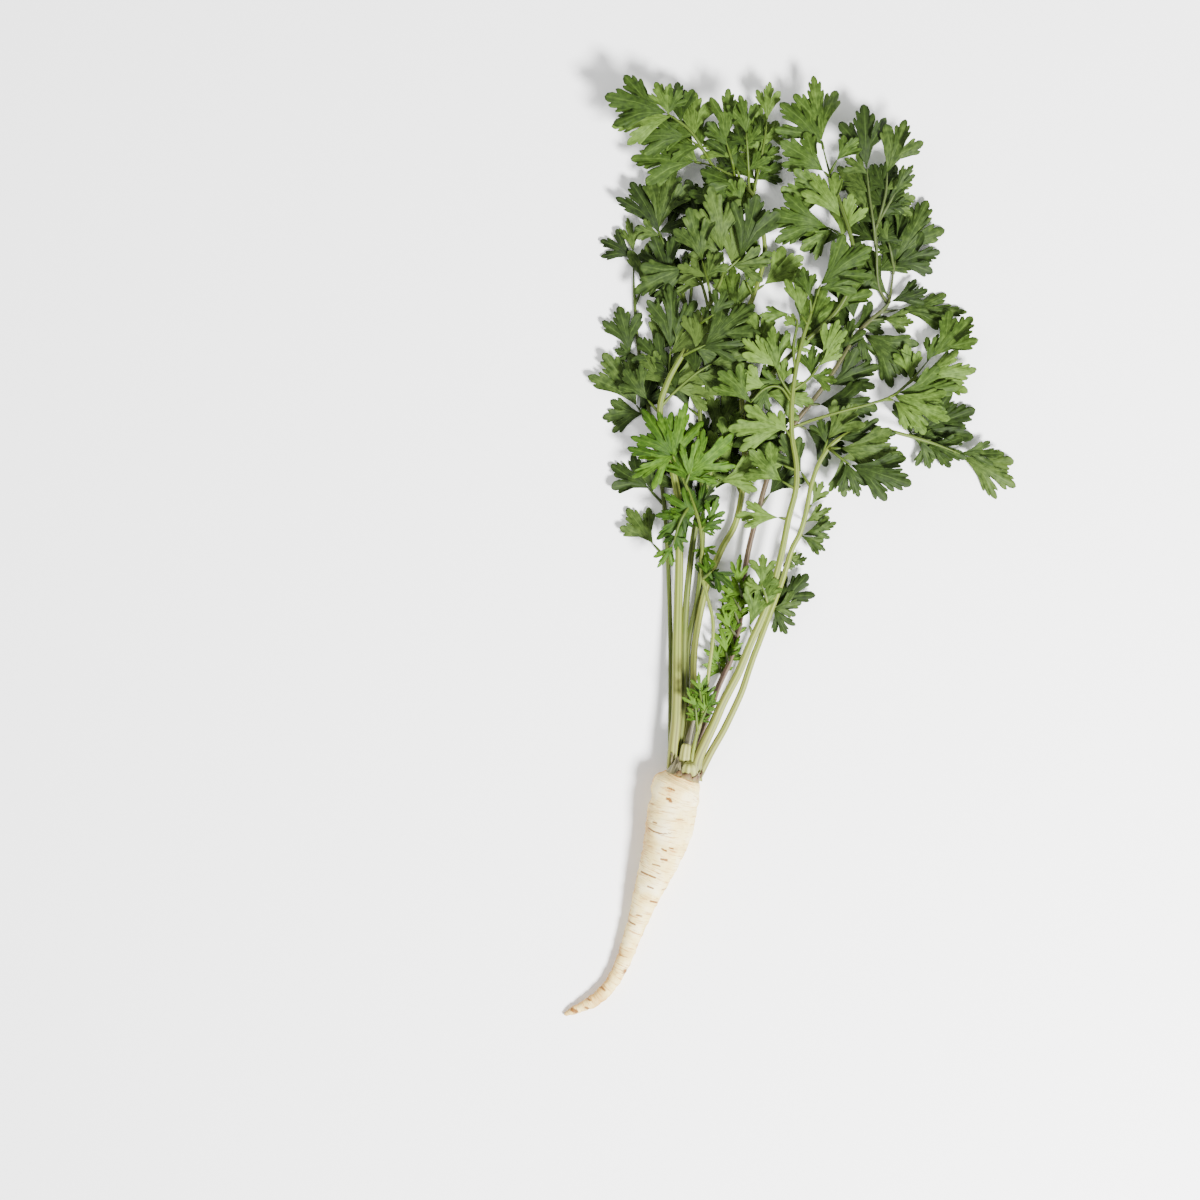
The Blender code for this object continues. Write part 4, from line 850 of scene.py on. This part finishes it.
def make_leaf(name, laid, finishes, draw):
    """A leaf's stalks as one piece and its leaflets as another."""
    main, radius, twigs, blades = laid
    slot, upper, stalk, level, cutting = finishes
    builder = bmesh.new()
    path, thick = finer(main, radius, LEAF_STEP)
    sides, ribs = (20, 7) if radius.max() > 2.6 else (15, 5)
    tip = 1.0 - 0.62 * ramp((np.linspace(0.0, 1.0, len(thick)) - 0.9) / 0.1)

    def clasping(gone, angle):
        return 1.0 + 0.34 * np.exp(-gone / 11.0) * np.abs(np.cos(angle))

    add_stalk(builder, path, thick * tip, sides, ribs, (0.0, 1.0), seated=clasping)
    for number, (twig, twig_radius) in enumerate(twigs):
        fine, fine_radius = finer(twig, twig_radius, LEAF_STEP)
        near = np.argmin(np.linalg.norm(main[:, :2] - twig[0, :2], axis=1)) / (len(main) - 1)
        thinner = 0.92 - 0.5 * ramp((np.linspace(0.0, 1.0, len(fine)) - 0.72) / 0.28)
        add_stalk(builder, fine, fine_radius * thinner, 8, 4, (0.35 + 0.65 * near, 1.15), number * 117.0)
    new_piece(name + "_stalks", builder, [stalk], [name])
    builder = bmesh.new()
    fresh_length, fresh_place = FRESH.get(name, (0.0, 0.0))
    for corners, form in blades:
        fresh = form[3] < fresh_length and form[0][1] < fresh_place
        before = len(builder.faces)
        tint = level + draw.uniform(-TINT_SPREAD, TINT_SPREAD) + (FRESH_TINT if fresh else 0.0)
        add_leaflet(builder, corners, form, tint, FRESH_CUTTING if fresh else cutting, draw)
        if fresh:
            builder.faces.ensure_lookup_table()
            for face in builder.faces[before:]:
                face.material_index = 2
    materials = [upper, UNDER, UPPER_YOUNG, UNDER] if name in FRESH else [upper, UNDER]
    leaflets = new_piece(name + "_leaflets", builder, materials, [name], closed=False)
    thicken(leaflets, LEAF_THICKNESS, 1)


# Marks on the upper skin as drawn from above: from, to, half width in mm and strength.
SKIN_MARKS = (
    ((-78, -152.5), (-74, -154), 0.7, 0.8), ((-78.6, -159.6), (-76.6, -160.2), 0.9, 0.9),
    ((-77.2, -161.2), (-75.8, -161.4), 0.7, 0.8), ((-90.5, -179), (-87, -181), 0.45, 1.0),
    ((-87, -181), (-83, -182.1), 0.45, 1.0), ((-83, -182.1), (-79.5, -182.2), 0.4, 0.9),
    ((-79.5, -182.2), (-76, -181.6), 0.4, 0.7), ((-87.5, -175), (-85.5, -175.4), 0.6, 0.8),
    ((-82, -192), (-79, -193.4), 0.5, 1.0), ((-77, -191.4), (-74.6, -192), 0.5, 0.9),
    ((-82.5, -198.6), (-78.5, -199.4), 0.6, 1.0), ((-88, -202), (-83, -203.4), 0.4, 0.9),
    ((-95, -207.5), (-86, -211), 0.5, 1.0), ((-85.6, -208), (-82.6, -208.4), 0.4, 0.6),
    ((-91, -216.6), (-87.4, -218), 0.5, 1.0), ((-81.5, -219.2), (-78.5, -218.6), 0.5, 0.7),
    ((-89, -226.5), (-85, -227.6), 0.6, 1.0), ((-98, -235.5), (-94.6, -236.4), 0.5, 0.8),
    ((-105.5, -239), (-99, -242), 0.5, 0.9), ((-104, -233), (-102.4, -233.4), 0.8, 0.5),
    ((-105, -273), (-103, -277), 2.2, 0.75), ((-109, -262), (-104, -263.4), 0.4, 0.6),
    ((-121, -283), (-118.6, -285), 0.9, 0.7), ((-130, -290.4), (-128, -291.6), 0.8, 0.7),
    ((-131, -296.4), (-129, -297.4), 0.8, 0.8), ((-139.6, -298), (-137, -299.4), 1.4, 0.9),
    ((-91, -162.6), (-88, -163.4), 0.7, 0.5),
)
# The root's rings of points: those over the domed crown, and points round each.
DOME, ROOT_SIDES = 7, 132
# Cross wrinkles round the root: period in mm, waves round it and depth in mm.
WRINKLES = ((4.3, 1, 0.10), (2.6, 2, 0.08), (6.9, 3, 0.12), (1.7, 3, 0.05))
SWELL_PERIOD, SWELL_DEPTH = 11.5, 0.16
MARK_DEPTH = 0.28


def make_root(material, draw):
    """The taproot with its shoulder, cross wrinkles, healed marks and bent tail, closed at the crown and the tip."""
    path = smooth_route(ROOT_AXIS, ROOT_STEP)
    plan, size = path[:, :2], path[:, 2]
    resting = ramp((RESTING_FROM + 12.0 - path[:, 1]) / 12.0) * ramp((path[:, 1] - RESTING_TO + 12.0) / 12.0)
    along = travelled(plan)
    height = size + RESTING_RISE - (RESTING_CUT + RESTING_RISE) * resting
    height = height + (CROWN[2] - height) * np.clip(1 - along / 11.0, 0, 1)
    centres = np.column_stack([plan, height])
    facing, across, up = tube_frames(centres)
    rings = len(path)
    # Small cross marks: place along, place round, half length, half width and strength.
    limits = ((6, 178), (0, 2 * math.pi), (0.8, 4.5), (0.28, 0.5), (0.25, 0.8))
    spots = [[draw.uniform(*pair) for pair in limits] for _ in range(130)]
    phases = [draw.uniform(0, 6.28) for _ in range(12)]

    def place(column, row):
        ring = np.clip(row - DOME, 0, rings - 1)
        angle = 2 * math.pi * (column % ROOT_SIDES) / ROOT_SIDES
        s, radius = along[ring], size[ring]
        side, top = np.cos(angle), np.sin(angle)
        relief = SWELL_DEPTH * np.sin(2 * math.pi * s / SWELL_PERIOD + 0.8 * np.sin(angle * 2 + s * 0.05))
        for k, (period, waves, deep) in enumerate(WRINKLES):
            wave = 1.3 * np.sin(angle * waves + phases[k + 4])
            relief += deep * np.sin(2 * math.pi * s / period + phases[k] + wave)
        # As shares of the radius: lumps, a notch on the right and the shoulder's bulge.
        lump = 0.022 * np.sin(2.0 * angle + s * 0.045) + 0.016 * np.sin(3.0 * angle - s * 0.09 + 1.0)
        notch = -0.085 * np.exp(-((s - 18.0) / 3.0) ** 2) * np.maximum(0.0, side) ** 4
        shoulder = 0.17 * np.exp(-((s - 6.5) / 4.8) ** 2) * (0.5 + 0.4 * side)
        form = 1.0 + relief / np.maximum(radius, 3.0) + lump * ramp(s / 20.0) + notch + shoulder
        out = round_tube(across[ring], up[ring], angle)
        points = centres[ring] + out * (radius * form)[:, None]
        # Rounded over from the shoulder to the crown's lip, and domed inside it.
        lip = CROWN - LEVEL * (side * CROWN_WIDE)[:, None] + UP * (top * CROWN_HIGH)[:, None]
        share = (np.clip(s / 5.5, 0, 1) ** 0.55)[:, None]
        points = points * share + lip * (1 - share)
        inward = (np.clip((DOME - row) / DOME, 0, 1) * math.pi / 2)[:, None]
        domed = CROWN + (lip - CROWN) * np.cos(inward) + OUTWARD * (0.8 * np.sin(inward))
        points = np.where((row < DOME)[:, None], domed, points)
        points = np.where((row == rings + DOME)[:, None], centres[-1] + facing[-1] * 0.8, points)
        skin = row >= DOME
        mark = np.zeros(len(s))
        for a, b, wide, strength in SKIN_MARKS:
            step = np.subtract(b, a)
            t = np.clip(((points[:, :2] - a) @ step) / (step @ step), 0, 1)
            away = np.linalg.norm(points[:, :2] - a - t[:, None] * step, axis=1)
            mark = np.maximum(mark, (skin & (top > -0.1)) * strength * np.exp(-(away / wide / 1.2) ** 2))
        for s0, a0, half, wide, strength in spots:
            turn = (angle - a0 + math.pi) % (2 * math.pi) - math.pi
            beyond = np.maximum(0.0, np.abs(turn) * radius - half * np.minimum(1, radius / 8))
            away = np.hypot(beyond, s - s0 - 0.15 * turn * radius)
            weaker = np.where(top > 0.35, 0.65, 1.0)
            mark = np.maximum(mark, strength * weaker * np.exp(-(away / wide / 1.2) ** 2) * skin)
        seam = np.exp(-((s - 0.9) / 0.7) ** 2) * (0.75 + 0.25 * np.sin(7 * angle)) * (row >= DOME - 2)
        mark = np.maximum(mark, seam)
        points = points - out * (MARK_DEPTH * mark * (skin & (row < rings + DOME)))[:, None]
        points[:, 2] = np.maximum(points[:, 2], 0.0)
        # Brown shift of the skin: real towards the tail and at the crown's rim; painted shade strongly along the left
        # side, which faces away from the key lamp, and faintly along the right side and under the root.
        tan_and_painted_shade = (np.maximum(side, 0.0) ** 5 * 0.85 + ramp((s - 110) / 60) * 0.5
               + np.maximum(-side, 0.0) ** 8 * 0.35 + np.maximum(-top, 0) * 0.12)
        tan_and_painted_shade = np.where(skin, np.maximum(np.clip(tan_and_painted_shade, 0, 1), 0.9 * np.exp(-s / 1.6)), 0.9)
        grain = np.column_stack([radius * side, radius * top, s])
        return points, {"mark": mark, "tan_and_painted_shade": tan_and_painted_shade, "grain": grain}

    builder = bmesh.new()
    add_sheet(builder, ROOT_SIDES, rings + DOME, place, around=True)
    new_piece("root_skin", builder, [material], ["root"])


def make_stub(name, laid, finishes):
    """An old stalk's stub: ribbed sides and a cut or torn end, which takes the last finish."""
    path, thick = finer(laid[0], laid[1], STUB_STEP)
    total = travelled(path)[-1]
    builder = bmesh.new()

    def clasping(gone, angle):
        swell = 0.10 * np.exp(-gone / 4.0) + 0.16 * np.sin(math.pi * np.clip(gone / total, 0, 1)) ** 0.8
        rounded = 1.0 - 0.24 * np.clip((gone - total + 1.8) / 1.8, 0, 1) ** 2
        return (1.0 + swell + 0.05 * np.sin(3 * angle + 1.0) + 0.03 * np.sin(5 * angle)) * rounded

    add_stalk(builder, path, thick, 40, 7, (0.0, 0.22), seated=clasping)
    builder.normal_update()
    end = Vector(in_row(path[-1]))
    away = Vector(path[-1] - path[-3]).normalized()
    for face in builder.faces:
        if face.normal.dot(away) > 0.75 and (face.calc_center_median() - end).length < 0.006:
            face.material_index = len(finishes) - 1
    new_piece(name + "_piece", builder, finishes, [name])


def make_scales(name, material, scales, draw):
    """Torn bases of older leaves that stand round the crown.

    Each scale: place round the crown in degrees, distance from its middle, length and width in mm.
    """
    builder = bmesh.new()
    for around, away, long, wide in scales:
        turn = math.radians(around)
        radial = LEVEL * math.cos(turn) + UP * math.sin(turn)
        tangent = UP * math.cos(turn) - LEVEL * math.sin(turn)
        grow = CROWN_HIGH / CROWN_WIDE if abs(math.sin(turn)) > 0.7 else 1.0
        lean = draw.uniform(-0.1, 0.25)
        ragged = np.array([draw.uniform(0.66, 1.0) for _ in range(9)])

        def place(column, row):
            u = column / 8 * 2 - 1
            v = row / 7
            reach = v * (1 - 0.45 * u ** 2) * ragged[column]
            half = wide / 2 * (1 - 0.45 * v)
            from_middle = away * grow - 0.9 * u ** 2 * 1.2 + lean * long * v * v
            points = CROWN + radial * from_middle[:, None] + tangent * (u * half)[:, None] \
                + OUTWARD * (long * reach - 1.2)[:, None]
            grain = np.column_stack([u * half, u * 0.0, v * long + around])
            return points, {"way": v * 0.75, "rib": 0.5 + 0.5 * np.cos(u * half * 3.6), "grain": grain}

        add_sheet(builder, 8, 7, place)
    thicken(new_piece(name, builder, [material], [], closed=False), SCALE_THICKNESS)


# ---------------------------------------------------------------- the plant

UPPER_DARK = leaf_material("dark_leaf_upper_side", "#121C08", "#263611", "#475A25", "#66803E", 0.58)
UPPER_BRIGHT = leaf_material("bright_leaf_upper_side", "#172509", "#314514", "#566E2C", "#728E44", 0.58)
UPPER_YOUNG = leaf_material("young_leaf_upper_side", "#152705", "#2C470B", "#4C6B1C", "#6E8A32", 0.55)
UNDER = leaf_material("leaf_underside", "#2C3D1C", "#43562B", "#5F7541", "#7A8E5C", 0.7)
STALK_PALE = stalk_material("pale_leaf_stalk", "#5F5B2E", "#52631D", "#304609", "#8C9344")
STALK_DARK = stalk_material("shaded_leaf_stalk", "#565830", "#334214", "#273B06", "#68742E")
STALK_PURPLE = stalk_material("purple_leaf_stalk", "#5C4A40", "#38291F", "#33441A", "#6E5C46")
STUB = stalk_material("old_stalk_skin", "#77753A", "#6E7236", "#5F692E", "#9A9C5C")
SHEATH = stalk_material("old_leaf_base_sheath", "#615C3A", "#575038", "#483F2E", "#8C8762")
WITHERED = stalk_material("withered_stalk_skin", "#6B6650", "#5A543E", "#443D2C", "#85816C")
PITH = cut_material()

# Each leaf: record slot, upper side, stalk, the middle of its leaflets' tint and how finely it is cut.
FINISHES = {
    "leaf_1": ("leaf_dark", UPPER_DARK, STALK_DARK, 0.46, 1.0),
    "leaf_2": ("leaf_dark", UPPER_DARK, STALK_PALE, 0.60, 1.0),
    "leaf_3": ("leaf_bright", UPPER_BRIGHT, STALK_DARK, 0.50, 1.0),
    "leaf_4": ("leaf_dark", UPPER_DARK, STALK_DARK, 0.42, 1.0),
    "leaf_5": ("leaf_bright", UPPER_BRIGHT, STALK_PALE, 0.50, 1.0),
    "leaf_6": ("leaf_young", UPPER_YOUNG, STALK_PALE, 0.42, 1.3),
    "leaf_7": ("leaf_young", UPPER_YOUNG, STALK_PALE, 0.66, 1.6),
    "leaf_8": ("leaf_dark", UPPER_DARK, STALK_PURPLE, 0.50, 1.0),
    "leaf_9": ("leaf_bright", UPPER_BRIGHT, STALK_PALE, 0.58, 1.0),
    "leaf_10": ("leaf_dark", UPPER_DARK, STALK_PALE, 0.55, 1.0),
}
TINT_SPREAD = 0.22
# Fresh bright growth on an older leaf: its leaflets shorter and nearer the root than these lengths in mm.
FRESH = {"leaf_8": (24.0, 20.0)}
FRESH_TINT, FRESH_CUTTING = 0.25, 1.4

looks = random.Random(SEED + 1)
plant = lay_plant()
make_root(root_material(), looks)
for name, finishes in FINISHES.items():
    make_leaf(name, plant[name], finishes, looks)
make_stub("cut_stalk_1", plant["cut_stalk_1"], [STUB, PITH])
make_stub("cut_stalk_2", plant["cut_stalk_2"], [STUB, PITH])
make_stub("broken_stalk", plant["broken_stalk"], [WITHERED])
make_scales("dry_leaf_bases", scale_material(), (
    (12, 10.4, 10.5, 9.5), (-8, 10.8, 9.0, 8.0), (34, 11.0, 9.5, 8.5), (171, 10.4, 9.0, 8.5), (58, 12.4, 6.5, 8.0),
    (82, 12.7, 5.5, 9.5), (104, 12.2, 5.0, 8.0), (-30, 10.4, 8.0, 8.0), (196, 10.4, 9.0, 8.0),
), looks)
make_scales("leaf_base_sheaths", SHEATH, (
    (114, 10.9, 11.5, 9.0), (134, 10.9, 13.0, 9.5), (154, 10.6, 14.0, 9.0), (46, 10.8, 8.5, 8.0),
), looks)


# ---------------------------------------------------------------- floor, light and camera

# The table's half width, and its gap under the plant, in metres.
TABLE_HALF, TABLE_GAP = 4.0, 0.0003
PHOTO_MIDDLE = (-121.55, -32.5, 0.0)
CAMERA_HEIGHT = 1.9


def place_in_scene(name, data):
    """A new object in the scene."""
    made = bpy.data.objects.new(name, data)
    bpy.context.scene.collection.objects.link(made)
    return made


def make_floor():
    """A plain white studio table just under the plant."""
    builder = bmesh.new()
    bmesh.ops.create_grid(builder, x_segments=1, y_segments=1, size=TABLE_HALF)
    bmesh.ops.translate(builder, vec=(0, 0, -TABLE_GAP), verts=builder.verts)
    mesh = bpy.data.meshes.new("table_top")
    builder.to_mesh(mesh)
    builder.free()
    made, = new_material("white_table")
    mesh.materials.append(finish(made, tone("#FCFCFC"), {"Roughness": 0.8, "Specular IOR Level": 0.1}))
    place_in_scene("table_top", mesh)


def add_light(name, spot, size, watts):
    """A round lamp that faces the plant."""
    lamp = bpy.data.lights.new(name, "AREA")
    lamp.shape = "DISK"
    lamp.size = size
    lamp.energy = watts
    made = place_in_scene(name, lamp)
    made.location = spot
    made.rotation_euler = (-Vector(spot)).to_track_quat("-Z", "Y").to_euler()


make_floor()
add_light("large_soft_lamp", (0.9, -0.9, 1.7), 0.55, 220.0)
add_light("fill_lamp", (-1.2, 0.9, 1.6), 1.6, 20.0)
world = bpy.data.worlds.new("studio")
bpy.context.scene.world = world
world.use_nodes = True
world.node_tree.nodes["Background"].inputs["Color"].default_value = (1.0, 1.0, 1.0, 1.0)
world.node_tree.nodes["Background"].inputs["Strength"].default_value = 0.7

view = bpy.data.cameras.new("photo_view")
view.sensor_width = 36.0
view.lens = 87.7
camera = place_in_scene("photo_view", view)
camera.location = (*in_row(PHOTO_MIDDLE)[:2], CAMERA_HEIGHT)
bpy.context.scene.camera = camera
